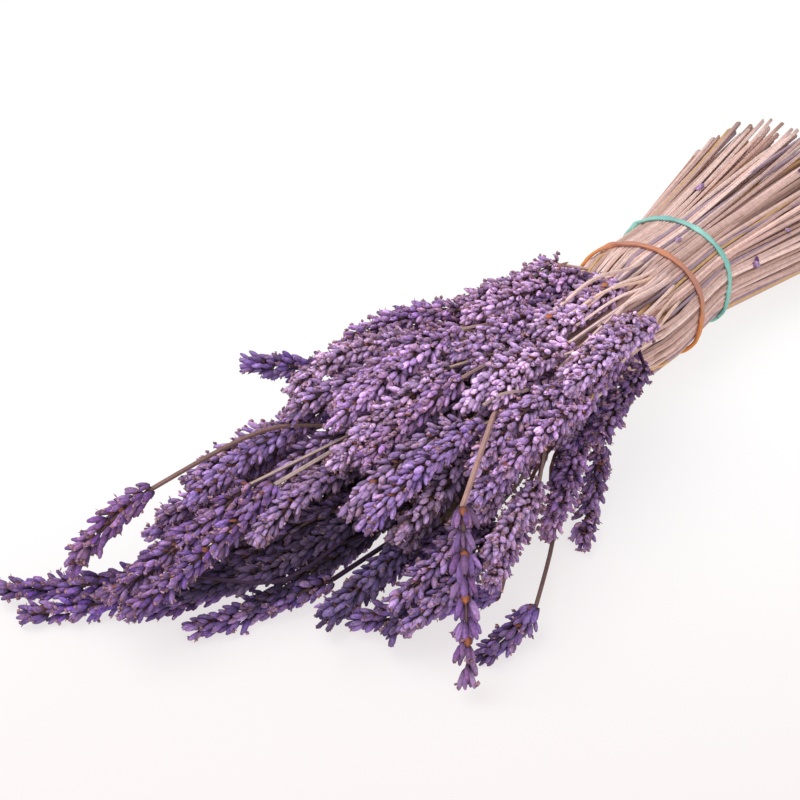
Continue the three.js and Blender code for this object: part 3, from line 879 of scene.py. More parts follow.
class Habit(Enum):
    """The two ways a spike grows: with its whorls pressed together, or apart with the stem bare between."""

    DENSE = Growth(
        3.6, 10, 5.5, 0.96, (41, 22), 1.9, 1.0, 0.85,
        Leafing(1, 0.3, (18, 42), 1.0, (1.7, 1.7, 3.6), (0.3, 1), shaded=True),
    )
    APART = Growth(
        6.9, 8, 7.4, 1.15, (32, 17), 1.1, 0.6, 0.5,
        Leafing(2, 0.15, (12, 22), 1.6, (1.9, 1.7, 4.0), (0, 0.35), shaded=False),
    )


class Form(Enum):
    """The small closed forms that stand on a spike or lie on the bunch."""

    BUD = Bead((0.04, 0.28, 0.68, 0.94), (0.42, 0.94, 0.96, 0.52), bend=0.12)
    PETAL = Bead((0.55,), (1.0,), sides=4, flatness=0.3)
    BRACT = Bead((0.25, 0.65), (0.9, 0.8), sides=4, flatness=0.2, bend=-0.15)
    SCRAP = Bead((0.15, 0.4, 0.7, 0.9), (0.5, 1.0, 0.8, 0.35), bend=0.22)


VIOLET, MAUVE, PLUM, ASH, PINK, TAN, DUST, RUST, UMBER, STEM = (linear(colour) for colour in (
    (108, 84, 166), (152, 110, 160), (94, 56, 112), (188, 164, 202), (198, 154, 168),
    (168, 124, 118), (206, 176, 184), (158, 92, 62), (84, 54, 66), (184, 144, 138),
))
PAINTED_LIGHT_NEAR_TIE = np.array([1.66, 1.56, 1.5])  # what a spike's colour is multiplied by near the tie, as painted light
DEEP_HUE_AND_SHADE_AT_TIPS = np.array([0.63, 0.33, 0.73])  # what it is multiplied by at the far tips: a deeper hue and painted shade
LIGHT_TO_SHADE_STATIONS = (110, 270)  # the stations between which the painted light turns into painted shade
DEEPEST_PAINTED_SHADE, PAINTED_SHADE_LIFT = 0.36, 0.69  # painted shade: how light it is painted deep in the bunch, and how much lighter at its outside
DEEP_TO_OUTSIDE = (0.35, 0.92)  # the depths between which the painted shade fades to light
DEEP_TO_PALE = (0.04, 0.16)  # the mean light of the tones that take on no ash, and that take on all
PAINTED_RIB_LIGHT, PAINTED_FURROW_SHADE = 1.1, 0.84  # painted light on a bud's ribs and painted shade in its furrows
HANGING_TONE = (0.35 * VIOLET + 0.35 * PLUM + 0.15 * MAUVE) * np.array([1.02, 0.74, 0.72])
CURLED_TONE = (0.3 * VIOLET + 0.7 * PLUM) * 0.75
FEWEST_WHORLS = 3
GAPS = 0.1  # the share of the buds that are missing at full disorder
LEANS = (8, 74)  # the least and the most that a bud may lean from the stem, in degrees
# How far buds stray in a growth without disorder, and how much further in one full of it.
STRAY_TURN, STRAY_LEAN = (0.1, 0.12), (3, 8)  # in radians round the stem, and in degrees from it
STRAY_PLACE, STRAY_SIZE = (0.06, 0.16), (0.05, 0.07)  # as shares of the pitch and of the size
PER_MOUTH = 3  # how many petals come out of a bud
BUD_SIZES = (0.6, 1.25)  # the smallest and the largest bud, as a share of the growth's
PETAL_SIZES = ((0.25, 0.6, 1.2), (0.6, 1.15, 2.3))  # the smallest and the largest petal, in millimetres
MOUTH = 0.75  # how far up a bud its petals come out

# The spikes in the heart of the mass: station, angle in degrees and depth of their middles.
HEART_SPIKES = (
    (120, 60, 0.35), (128, 200, 0.4), (150, 20, 0.5), (156, 120, 0.4), (170, 250, 0.35), (182, 60, 0.4),
    (196, 0, 0.55), (200, 150, 0.4), (214, 300, 0.4), (222, 40, 0.45), (228, 110, 0.3), (236, 190, 0.4),
    (208, 330, 0.6), (104, 6, 0.78), (114, -10, 0.8), (78, 118, 0.8), (92, 20, 0.7), (224, 250, 0.3),
    (238, 175, 0.3),
)
HEART_GROUP = 9  # how many of them make one piece


@dataclass
class Axis:
    """The curve of a spike through its base, middle and tip."""

    base: Array
    middle: Array
    tip: Array

    @property
    def length(self) -> float:
        """The length of the curve, by its two chords."""
        return float(np.linalg.norm(self.middle - self.base) + np.linalg.norm(self.tip - self.middle))

    def point(self, share: Array) -> Array:
        """Points of the curve (1-t)²·base + 2t(1-t)·control + t²·tip, through the middle."""
        t = share[:, None]
        control = 2 * self.middle - (self.base + self.tip) / 2
        return (1 - t) ** 2 * self.base + 2 * t * (1 - t) * control + t**2 * self.tip

    def frame(self, share: Array) -> tuple[Array, Array, Array]:
        """The directions forward, sideways and over at shares of the curve."""
        forward = unit(self.point(share + 1e-3) - self.point(share - 1e-3))
        side = unit(np.cross(UP, forward))
        return forward, side, np.cross(forward, side)


@dataclass
class Spike:
    """One flower spike: ribbed buds in whorls, withered petals, papery bracts and the stem."""

    outline: Outline
    rng: Random
    axis: Axis
    tone: Array  # its main colour
    withered: float  # from 0 to 1
    loose: bool = False  # whether it stands clear of the bunch, where it takes no painted shade from its neighbours
    growth: Growth = Habit.DENSE.value

    def profile(self, share: Array) -> Array:
        """How wide it is: it swells from 0.74 at its base and narrows to a blunt half at its tip."""
        return np.minimum(1, 0.74 + 1.1 * share) * (1 - 0.5 * np.maximum(0, (share - 0.5) / 0.5) ** 2)

    def places(self) -> tuple[Array, Array, Array, Array]:
        """Where the buds stand.

        Returns:
            The share along the curve, the way round, the lean in radians, and the size of each bud.
        """
        growth, rng, length = self.growth, self.rng, self.axis.length
        last = 1 - 0.85 * growth.length / length
        whorls = max(int(round(length * last / growth.pitch)), FEWEST_WHORLS) + 1
        marks = np.linspace(0.0, last, whorls)
        whorl, k = np.divmod(np.arange(whorls * growth.per_whorl), growth.per_whorl)
        keep = rng.random(len(k)) > GAPS * growth.disorder
        whorl, k = whorl[keep], k[keep]
        place, count = marks[whorl], len(k)
        turn = 2 * np.pi * (k + 0.5 * (whorl % 2) * growth.spread) / growth.per_whorl
        turn = turn - (1 - growth.spread) * np.sin(2 * turn) * 0.8
        turn = turn + rng.normal(0, growth.stray(STRAY_TURN), count)
        lean = np.array(growth.lean)[(k + whorl) % 2] + rng.normal(0, growth.stray(STRAY_LEAN), count)
        lean = np.radians(lean.clip(*LEANS)) * (1 - 0.5 * smooth(place, 0.78, 1.0))
        jitter = rng.normal(0, growth.stray(STRAY_PLACE) * growth.pitch / length, count)
        size = rng.normal(1, growth.stray(STRAY_SIZE), count) * (0.8 + 0.2 * self.profile(place))
        return np.clip(place + jitter, 0, 1), turn, lean, size.clip(*BUD_SIZES)

    def directions(self, share: Array, turn: Array, lean: Array) -> tuple[Array, Array]:
        """Where things that stand on the stem point.

        Args:
            share: how far along it each one stands.
            turn: the way round the stem.
            lean: the angle to the stem.

        Returns:
            Outward from the stem, and the three axes out, across and along of each thing.
        """
        forward, side, over = self.axis.frame(share)
        outward = side * np.cos(turn)[:, None] + over * np.sin(turn)[:, None]
        along = forward * np.cos(lean)[:, None] + outward * np.sin(lean)[:, None]
        out = outward * np.cos(lean)[:, None] - forward * np.sin(lean)[:, None]
        return outward, np.stack([out, np.cross(along, out), along], axis=1)

    def shade(self, points: Array) -> Array:
        """Painted shade: how light things are painted by where they stand, dark deep in the bunch, light at
        its outside.
        """
        _, depth = self.outline.polar(points)
        return DEEPEST_PAINTED_SHADE + PAINTED_SHADE_LIFT * smooth(depth, *DEEP_TO_OUTSIDE)

    def shape(self) -> Shape:
        """The whole spike, with the finishes of SPIKE_FINISHES."""
        share, turn, lean, size = self.places()
        outward, axes = self.directions(share, turn, lean)
        root = self.axis.point(share) + outward * (self.growth.root * self.profile(share))[:, None]
        widths = self.growth.width * size * self.rng.uniform(0.86, 1.12, (2, len(size)))
        sizes = np.stack([*widths, self.growth.length * size], axis=1)
        mouths = root + axes[:, 2] * sizes[:, 2:] * MOUTH
        # painted shade by depth in the bunch, none on a loose spike
        lit = np.ones(len(root)) if self.loose else self.shade(mouths)
        light = self.bud_light(len(size)) * lit[:, None]
        colours = self.bud_colours(len(size))
        buds = Form.BUD.value.copies(root, axes, sizes, colours, light, SPIKE_FINISHES.index(CALYX))
        return Shape.joined([buds, self.petals(mouths, axes, lit), self.bracts(), self.stem()])

    def bud_light(self, count: int) -> Array:
        """How light each vertex of so many buds is.

        Args:
            count: how many buds there are.

        Returns:
            A bud is painted dark with shade at its foot, lightest past its middle and darker at its mouth,
            its ribs are painted lighter than its furrows, which hold painted shade, and its outer side has
            painted light over its inner side.
        """
        form = Form.BUD.value.template()
        height, outer = form[:, 2], form[:, 0]
        rib_and_furrow_shade = np.append(np.tile([PAINTED_RIB_LIGHT, PAINTED_FURROW_SHADE], len(height) // 2)[: len(height) - 2], [1, 0.7])
        along = 0.26 + 0.78 * smooth(height, 0.0, 0.5) - 0.24 * smooth(height, 0.8, 1.0)
        # painted shade at the foot and in the furrows, painted light on the ribs and on the outer side
        return self.rng.lognormal(0, 0.22, (count, 1)) * along * rib_and_furrow_shade * (1 + 0.16 * outer)

    def bud_colours(self, count: int) -> Array:
        """The colours of so many buds.

        Args:
            count: how many buds there are.

        Returns:
            For each vertex of each bud the spike's tone, turned by chance to violet, pale ash or tan,
            and then to dust towards the bud's mouth.
        """
        rng, tone, withered = self.rng, self.tone, self.withered
        to_violet = rng.uniform(0, 0.45, (count, 1))
        pale = smooth(tone.mean(), *DEEP_TO_PALE)
        to_ash = rng.beta(1.2, 4, (count, 1)) * pale
        to_tan = rng.beta(1, 5, (count, 1)) * (0.2 + withered)
        mixed = tone * (1 - to_violet) + VIOLET * to_violet
        mixed = mixed * (1 - to_ash) + (0.5 * tone + 0.75 * ASH) * to_ash
        mixed = (mixed * (1 - to_tan) + TAN * to_tan)[:, None]
        height = Form.BUD.value.template()[:, 2, None]
        to_dust = smooth(height, 0.45, 1.0) * rng.beta(1.3, 2.2, (count, 1, 1)) * (0.25 + 0.75 * withered)
        return mixed * (1 - to_dust) + ((0.2 + 0.35 * pale) * DUST + 1.2 * tone) * to_dust

    def petals(self, mouths: Array, axes: Array, lit: Array) -> Shape:
        """Withered petals at the mouths of some of the buds.

        Args:
            mouths: where the mouths of the buds are.
            axes: the axes of the buds.
            lit: how light it is at each bud.

        Returns:
            The petals, spread from the bud's own direction.
        """
        rng = self.rng
        chosen = np.flatnonzero(rng.random(len(mouths)) < self.withered)
        chosen = np.repeat(chosen if len(chosen) else [0], PER_MOUTH)
        count = len(chosen)
        turn = rng.uniform(0, 2 * np.pi, count)[:, None]
        lean = rng.uniform(0.3, 1.4, count)[:, None]
        out, across, along = (axes[chosen, k] for k in range(3))
        spread = out * np.cos(turn) + across * np.sin(turn)
        forward = unit(along * np.cos(lean) + spread * np.sin(lean))
        side = unit(np.cross(forward, out + 0.3 * across))
        sizes = rng.uniform(*PETAL_SIZES, (count, 3))
        directions = np.stack([np.cross(side, forward), side, forward], 1)
        mixed = rng.dirichlet([1.5, 1.5, 0.9, 0.9], count) @ np.array([PINK, TAN, MAUVE, UMBER])
        colours = mixed * rng.lognormal(0, 0.25, (count, 1)) * lit[chosen, None]
        # painted shade at the foot and on alternate sides, painted light at the tip; lit is the painted
        # shade of the bunch
        light = np.array([1.0, 0.85, 1.0, 0.85, 0.6, 1.1])
        finish = SPIKE_FINISHES.index(PETAL)
        return Form.PETAL.value.copies(mouths[chosen], directions, sizes, colours, light, finish)

    def bracts(self) -> Shape:
        """Papery bracts, two under a whorl, on opposite sides of the stem."""
        rng, leafing, length = self.rng, self.growth.bracts, self.axis.length
        whorls = int(length / self.growth.pitch)
        share = np.repeat(np.arange(0, whorls, leafing.every) * 0.95 / whorls, 2)
        count = len(share)
        turn = np.tile([0.5 * np.pi, 1.5 * np.pi], count // 2) + rng.normal(0, leafing.disorder, count)
        lean = np.radians(rng.uniform(*leafing.lean, count))
        outward, axes = self.directions(share, turn, lean)
        root = self.axis.point(share) + outward * leafing.root
        sizes = np.array(leafing.size) * rng.uniform(0.85, 1.15, (count, 1))
        mix = rng.uniform(*leafing.umber, (count, 1))
        # painted shade by depth in the bunch
        lit = self.shade(root)[:, None] if leafing.shaded else 1.0
        colours = (RUST * (1 - mix) + UMBER * mix) * lit
        # painted shade at the foot and on alternate sides, painted light at the tip
        light = np.append(np.tile([1.0, 0.8], 4), [0.6, 1.1])
        return Form.BRACT.value.copies(root, axes, sizes, colours, light, SPIKE_FINISHES.index(BRACT))

    def stem(self) -> Shape:
        """The stem inside the spike, six-sided and narrowing to its tip."""
        share, sides = np.linspace(0, 0.94, 9), 6
        radii = (0.85 - 0.5 * share)[None]
        vertices = tube_along(self.axis.point(share)[None], radii, np.ones(sides), 0 * radii, np.zeros(1))
        tint = np.append(0.25 * STEM + 0.5 * UMBER, 0.0)
        return Shape.of_tubes(Tube(len(share), sides), vertices, tint, SPIKE_FINISHES.index(STRAW))


@dataclass
class Spikes:
    """All the flower spikes: those of the sprigs, and those crowded together in the heart of the mass."""

    sprigs: Sprigs
    dresser: Dresser

    def tone(self, rng: Random, index: int) -> Array:
        """The main colour of a sprig's spike.

        Args:
            rng: random numbers.
            index: the sprig's number.

        Returns:
            Dusty and pale under painted light near the tie, deep plum and violet under painted shade at the
            far tips.
        """
        if index in (HANGING, CURLED):
            return HANGING_TONE if index == HANGING else CURLED_TONE
        far = smooth(self.sprigs.points[index, MIDDLE, :1], *LIGHT_TO_SHADE_STATIONS)
        far = np.maximum(far, 0.85 * self.sprigs.stray[index])
        names = np.array([VIOLET, MAUVE, PLUM, ASH])
        pale, deep = rng.dirichlet([1.3, 0.9, 0.7, 3.0]) @ names, rng.dirichlet([2.2, 0.6, 2.0, 0.1]) @ names
        return (pale * PAINTED_LIGHT_NEAR_TIE * (1 - far) + deep * DEEP_HUE_AND_SHADE_AT_TIPS * far) * rng.uniform(0.85, 1.12)

    def spike(self, index: int) -> Shape:
        """The spike of one sprig."""
        rng = np.random.default_rng(SEED + index)
        hanging, loose = index == HANGING, bool(self.sprigs.stray[index])
        withered = 0.25 if hanging else rng.uniform(0.2, 0.7) if loose else rng.uniform(0.35, 1.0)
        axis, tone = Axis(*self.sprigs.points[index, BASE:]), self.tone(rng, index)
        habit = Habit.APART if hanging else Habit.DENSE
        return Spike(self.sprigs.outline, rng, axis, tone, withered, loose, habit.value).shape()

    def heart_spike(self, number: int) -> Shape:
        """A spike in the heart of the mass, laid along the bunch."""
        rng = np.random.default_rng(SEED - 1 - number)
        station, angle, depth = HEART_SPIKES[number]
        depths, stations = depth + np.array([-0.1, 0.0, 0.05]), station + np.array([-30.0, 0.0, 30.0])
        axis = Axis(*self.sprigs.outline.point(stations, math.radians(angle), 0, depths))
        # the tone is darkened by 0.8 as painted shade deep in the mass
        tone = (rng.dirichlet([2.0, 1.0, 2.0]) @ np.array([VIOLET, MAUVE, PLUM])) * 0.8
        return Spike(self.sprigs.outline, rng, axis, tone, withered=0.3).shape()

    def build(self) -> None:
        """Makes one piece for each node of spikes, and a few more for the heart."""
        for number, twin in enumerate(np.unique(self.sprigs.twin), start=1):
            mates = np.flatnonzero(self.sprigs.twin == twin)
            shape = Shape.joined([self.spike(index) for index in mates])
            node = f"spike_{number:02d}"
            self.dresser.dress(f"lavender_{node}", shape, SPIKE_FINISHES, "spikes", [node])
        heart = [self.heart_spike(number) for number in range(len(HEART_SPIKES))]
        for number, start in enumerate(range(0, len(heart), HEART_GROUP), start=1):
            shape = Shape.joined(heart[start : start + HEART_GROUP])
            self.dresser.dress(f"heart_spikes_{number}", shape, SPIKE_FINISHES, "spikes", ["stalks"])


# ---------------------------------------------------------------- stalks
STRAW_TONES = np.array([linear(c) for c in (
    (228, 192, 182), (214, 178, 170), (236, 206, 198), (214, 172, 122), (168, 144, 158), (194, 156, 144),
)])
STRAW_SHARES = (0.26, 0.24, 0.16, 0.12, 0.08, 0.14)
PALE_STRAW = STRAW_TONES[2]
PITH = linear((236, 216, 196))
BARE_STALKS = {HANGING: (1.7, 0.95), CURLED: (0.7, 0.85)}  # how light and how thick these two are
SHADED_STRAY_STALK = 0.5 * PLUM + 0.5 * UMBER  # of the strays, painted dark as shade so they sink among the spikes
DIPS = (0.74, 0.66, 0.74)  # how deep a stalk runs at three points before its spike, as a share
STRAY_DIP = 0.6  # what that is multiplied by for a stray


@dataclass
class Stalks:
    """The stalks: a tied bundle that fans out behind the bands, and those that carry the spikes."""

    sprigs: Sprigs
    dresser: Dresser
    rng: Random
    filling: int = 470
    skin_count: int = 96
    radius: float = 0.95
    carrying_radius: float = 0.8
    loose_radius: float = 0.72
    rings: int = 18
    stagger: float = 0.2  # the largest share of a tail that is cut away
    ends: tuple[float, float] = (78, 200)  # where the filling ends, in the mass
    back_drift: float = 0.16  # how far stalks drift round to their cut ends, in radians
    ahead_drift: float = 0.3  # the same to their other ends
    shade_under_mass_stations: tuple[float, float] = (90, 180)  # the stations between which stalks darken with painted shade under the spikes
    shade_under_mass: float = 0.45  # how much the painted shade darkens them
    # painted shade in the stalks' grooves
    groove_shade: float = 0.85
    section: tuple[float, ...] = (1.0, 0.82) * 4
    marks: tuple[float, ...] = (-130, 38, 54, 72, 100, 140, 200)
    near_inset: tuple[float, ...] = (0, 0, 1.5, 8, 15, 19, 22)
    far_inset: tuple[float, ...] = (0, 0, 5, 14, 20, 22, 24)

    def skin(self, station: Array, angle: Array) -> Array:
        """How far inside the outline the bundle's skin lies: further in where the spikes cover it."""
        near, far = (np.interp(station, self.marks, inset) for inset in (self.near_inset, self.far_inset))
        mix = smooth(np.cos(angle), 0, 0.5)
        return far * (1 - mix) + near * mix

    def cut_station(self, angle: Array) -> Array:
        """Where stalks are cut: staggered, and sooner on the far side and on top."""
        sooner = 0.12 * (1 - np.cos(angle)) + 0.06 * np.maximum(np.sin(angle), 0)
        longest = TAIL_LENGTH * (1 - sooner) - 1.5
        return -longest * (1 - self.stagger * self.rng.beta(1.1, 2.2, len(angle)))

    def wander(self, station: Array) -> Array:
        """A slow wave across each stalk, small where the bands hold it and larger at its ends."""
        size, between_bands = (2, len(station), 1), 15
        reach = 0.1 + 1.8 * np.clip(np.abs(station - between_bands) / 120, 0, 1) ** 1.6
        phase, pace = self.rng.uniform(0, 2 * np.pi, size), self.rng.uniform(0.008, 0.024, size)
        waves = reach * np.sin(pace * station + phase) * self.rng.uniform(0.3, 1, size)
        return np.stack([0 * station, *waves], axis=-1)

    def bundled(self) -> Array:
        """The paths of the stalks that fill the bundle.

        Returns:
            Points of each path. At the tie the filling lies like the seeds of a sunflower: stalk i is
            i golden angles round and √(i / count) of the way out. The skin is a ring of stalks side by
            side round it. From there each drifts round, and those of the filling sink a little.
        """
        rng, outline = self.rng, self.sprigs.outline
        i, ring = np.arange(self.filling), np.arange(self.skin_count)
        depth = np.append(0.94 * np.sqrt((i + 0.7) / self.filling), 0 * ring + 1.0)[:, None]
        golden, even = i * math.pi * (3 - math.sqrt(5)), 2 * np.pi * ring / self.skin_count
        turn = np.append(golden, even)[:, None]
        column = (len(turn), 1)
        inner = depth < 1
        start = self.cut_station(turn[:, 0])[:, None]
        end = rng.uniform(*self.ends, column) - 30 * (1 - depth)
        station = start + (end - start) * np.linspace(0, 1, self.rings)
        back, ahead = np.clip(-station / TAIL_LENGTH, 0, 1), np.clip((station - 34) / 120, 0, 1)
        angle = turn + back * rng.normal(0, self.back_drift, column)
        angle = angle + ahead * rng.normal(0, self.ahead_drift, column)
        sink = back * rng.uniform(0, 0.16, column) + ahead * rng.uniform(0, 0.25, column)
        inset = self.radius + self.skin(station, angle)
        paths = outline.sagging(outline.point(station, angle, inset, depth * (1 - inner * sink)))
        return paths + self.wander(station)

    def carrying(self) -> Array:
        """The paths of the stalks that carry the spikes, from their cut ends through the tie.

        Returns:
            Points of each path. Between the tie and its spike a stalk dips under the spikes that lie
            over it. One with an elbow comes up again there, all but the one that stays under the mass.
        """
        outline, points = self.sprigs.outline, self.sprigs.points
        angle, depth = outline.polar(points[:, 0])
        angle = angle + self.rng.normal(0, 0.08, len(angle))
        cut = self.cut_station(angle)
        shares, depth = (1.0, 0.66, 0.33), np.minimum(depth, 0.97)
        tails = [outline.point(cut * share, angle, 1.2, depth) for share in shares]
        first, elbow = points[:, 1], points[:, 2]
        bare = np.stack([first, 0.2 * first + 0.8 * elbow, elbow], axis=1)
        around, deep = outline.polar(bare)
        sunk = np.array(DIPS) * np.minimum(deep, 1)
        sunk[self.sprigs.stray & ~self.sprigs.elbowed] *= STRAY_DIP
        bare = outline.point(bare[..., 0], around, 0, sunk)
        rises = self.sprigs.elbowed & (np.arange(len(bare)) != UNDER)
        bare[rises, 2] = elbow[rises]
        corners = [np.stack(tails, axis=1), points[:, :1], bare, points[:, BASE : BASE + 1]]
        return eased(np.concatenate(corners, axis=1), 40)

    def straw(self, count: int) -> Array:
        """The colours of so many stalks, drawn from the tones of straw."""
        tone = STRAW_TONES[self.rng.choice(len(STRAW_TONES), count, p=STRAW_SHARES)]
        return tone * self.rng.normal(1, 0.1, (count, 1)).clip(0.75, 1.25)

    def shape(self, paths: Array, radius: Array | float, tone: Array) -> Shape:
        """Grooved stalks along paths, that darken with painted shade to a little over half as they near the
        far spikes.

        Args:
            paths: the points of each stalk.
            radius: their mean radius, or each one's own in a column.
            tone: the colour of each stalk.

        Returns:
            The stalks, darker in the grooves with painted shade, with pale pith at the cut.
        """
        rng, (count, rings) = self.rng, paths.shape[:2]
        radii = radius * rng.normal(1, 0.13, (count, 1)).clip(0.7, 1.3) * np.linspace(1.06, 0.9, rings)
        start, twist = rng.uniform(0, 2 * np.pi, (count, 1)), rng.normal(0, 0.6, (count, 1))
        twist = start + twist * np.linspace(0, 1, rings)
        vertices = tube_along(paths, radii, np.array(self.section), twist, rng.normal(0, 0.7, count))
        groove = np.array(self.section) < 1
        shade_under_mass = 1 - self.shade_under_mass * smooth(paths[..., 0], *self.shade_under_mass_stations)
        shade = (shade_under_mass[..., None] * np.where(groove, self.groove_shade, 1.0)).reshape(count, -1)
        shade = np.concatenate([shade, shade_under_mass[:, [0, -1]]], axis=1)
        relief = np.append(np.tile(np.where(groove, 0.0, 1.0), rings), [1, 1])
        tint = tinted(tone, shade, relief)
        tint[:, -2, :3] = PITH
        return Shape.of_tubes(Tube(rings, len(self.section)), vertices, tint, 0)

    def build(self) -> None:
        """Makes the bundle and the stalks of the spikes."""
        paths = self.bundled()
        bundle = self.shape(paths, self.radius, self.straw(len(paths)))
        self.dresser.dress("stalk_bundle", bundle, (STRAW,), "stalks", ["stalks"])
        paths = self.carrying()
        tone, radius = self.straw(len(paths)), np.full((len(paths), 1), self.carrying_radius)
        # painted shade: the strays' stalks are darkened so they sink among the spikes
        tone[self.sprigs.stray] = SHADED_STRAY_STALK * self.rng.uniform(0.5, 0.9, (len(STRAYS), 1))
        tone[self.sprigs.elbowed] = STEM * 0.9
        for index, (light, thickness) in BARE_STALKS.items():
            tone[index], radius[index] = STEM * light, thickness
        self.dresser.dress("spike_stalks", self.shape(paths, radius, tone), (STRAW,), "stalks", ["stalks"])


# ---------------------------------------------------------------- what lies loose
@dataclass(frozen=True)
class Resting:
    """A thing that lies on the bunch: its station, its angle round the section and its heading."""

    station: float
    angle: float  # in degrees from the near side over the top
    heading: float  # in degrees from the bunch's length
    size: Triple  # thickness, half width and length
    colour: Array
    lift: float = 1.0  # over the outline


# Loose stalks, each from one station and angle to another, in degrees, with its height over the mass.
CROSSING = (
    ((34, 57), (124, 52), 2.8), ((40, 50), (112, 60), 2.6), ((119, 57), (98, 44), 3.0),
    ((96, 36), (74, 41), 2.8), ((44, 56), (99, 66), 2.6), ((46, 38), (99, 45), 2.6),
    ((52, 26), (109, 29), 2.4), ((94, 23), (122, 27), 2.2), ((144, 58), (164, 68), 2.4),
    ((118, 128), (149, 135), 3.4), ((38, 66), (94, 72), 2.8), ((38, 43), (98, 39), 2.8),
    ((40, 80), (98, 86), 2.6), ((36, 52), (90, 56), 3.0), ((40, 28), (96, 24), 2.6),
    ((42, 60), (102, 50), 3.0), ((38, 36), (88, 32), 2.6), ((44, 62), (98, 76), 2.8),
)
FALLEN = 0.5 * MAUVE + 0.5 * ASH
LOOSE_BUDS = (
    Resting(-32, 103, 10, (1.0, 1.1, 5.2), FALLEN), Resting(-30, 101, 50, (0.9, 1.0, 4.2), MAUVE),
    Resting(-18, 3, 60, (1.0, 1.1, 4.8), FALLEN), Resting(-15, 6, 140, (0.9, 1.0, 4.4), MAUVE),
    Resting(-17, 8, 95, (0.8, 0.9, 3.6), PLUM), Resting(-40, 24, 35, (0.7, 0.8, 3.2), FALLEN),
    Resting(93, 48, 15, (1.3, 1.5, 8), VIOLET, 2.5), Resting(94, 51, 5, (1.0, 1.2, 6.5), FALLEN, 3.0),
    Resting(12, 74, 15, (0.8, 0.8, 3.4), FALLEN), Resting(-70, 60, 20, (0.8, 0.9, 3.8), PLUM),
)
SCRAPS = (
    Resting(70, 126, -15, (0.5, 2.4, 11), linear((84, 80, 78)), 4.0),
    Resting(80, 124, 165, (0.5, 2.0, 8), linear((96, 80, 74)), 4.5),
    Resting(62, 118, 60, (0.6, 2.2, 7), linear((150, 106, 88)), 4.0),
    Resting(106, 78, 35, (0.5, 1.1, 3.2), linear((184, 108, 70)), 2.0),
    Resting(70, 74, 35, (0.5, 1.3, 3.6), linear((176, 116, 84)), 2.0),
)


class Litter(Stalks):
    """Stalks that lie loose on the mass, with fallen buds and scraps of dried leaf and petal."""

    def crossing(self) -> Array:
        """The paths of the loose stalks, that rise out of the bundle, cross the mass and sink in it."""
        share = np.linspace(0, 1, 14)
        rise, fall = smooth(share, 0, 0.55), smooth(share, 0.7, 1.0)
        paths = []
        for (first, start), (last, end), lift in CROSSING:
            angle = np.radians(start + (end - start) * share)
            height = lift * rise * (1 - 1.5 * fall) - 0.7 * (1 - rise)
            paths.append(self.sprigs.outline.point(first + (last - first) * share, angle, -height))
        return np.array(paths)

    def resting(self, bead: Bead, things: tuple[Resting, ...]) -> Shape:
        """Small things that lie on the bunch.

        Args:
            bead: their form.
            things: where each lies, and its size and colour.

        Returns:
            Their surfaces. Each lies along cosine · the bunch's length + sine · the way round.
        """
        station, angle, heading, lift, size, colour = (
            np.array([getattr(thing, name) for thing in things], float)
            for name in ("station", "angle", "heading", "lift", "size", "colour")
        )
        angle, heading = np.radians(angle), np.radians(heading)
        nothing = np.zeros(len(things))
        out = np.stack([nothing, np.cos(angle), np.sin(angle)], axis=1)
        way_round = np.stack([nothing, -np.sin(angle), np.cos(angle)], axis=1)
        length = np.array([1.0, 0, 0])
        along = np.cos(heading)[:, None] * length + np.sin(heading)[:, None] * way_round
        directions = np.stack([out, np.cross(along, out), along], axis=1)
        # painted shade at the foot, painted light towards the tip
        light = 0.7 + 0.4 * bead.template()[:, 2]
        return bead.copies(self.sprigs.outline.point(station, angle, -lift), directions, size, colour, light)

    def build(self) -> None:
        """Makes the loose stalks, the fallen buds and the scraps."""
        paths = self.crossing()
        tone = 0.35 * self.straw(len(paths)) + 0.85 * PALE_STRAW
        buds, scraps = self.resting(Form.BUD.value, LOOSE_BUDS), self.resting(Form.SCRAP.value, SCRAPS)
        for name, shape, finish in (
            ("loose_stalks", self.shape(paths, self.loose_radius, tone), STRAW),
            ("loose_buds", buds, CALYX),
            ("dried_scraps", scraps, BRACT),
        ):
            self.dresser.dress(name, shape, (finish,), "stalks", ["stalks"])


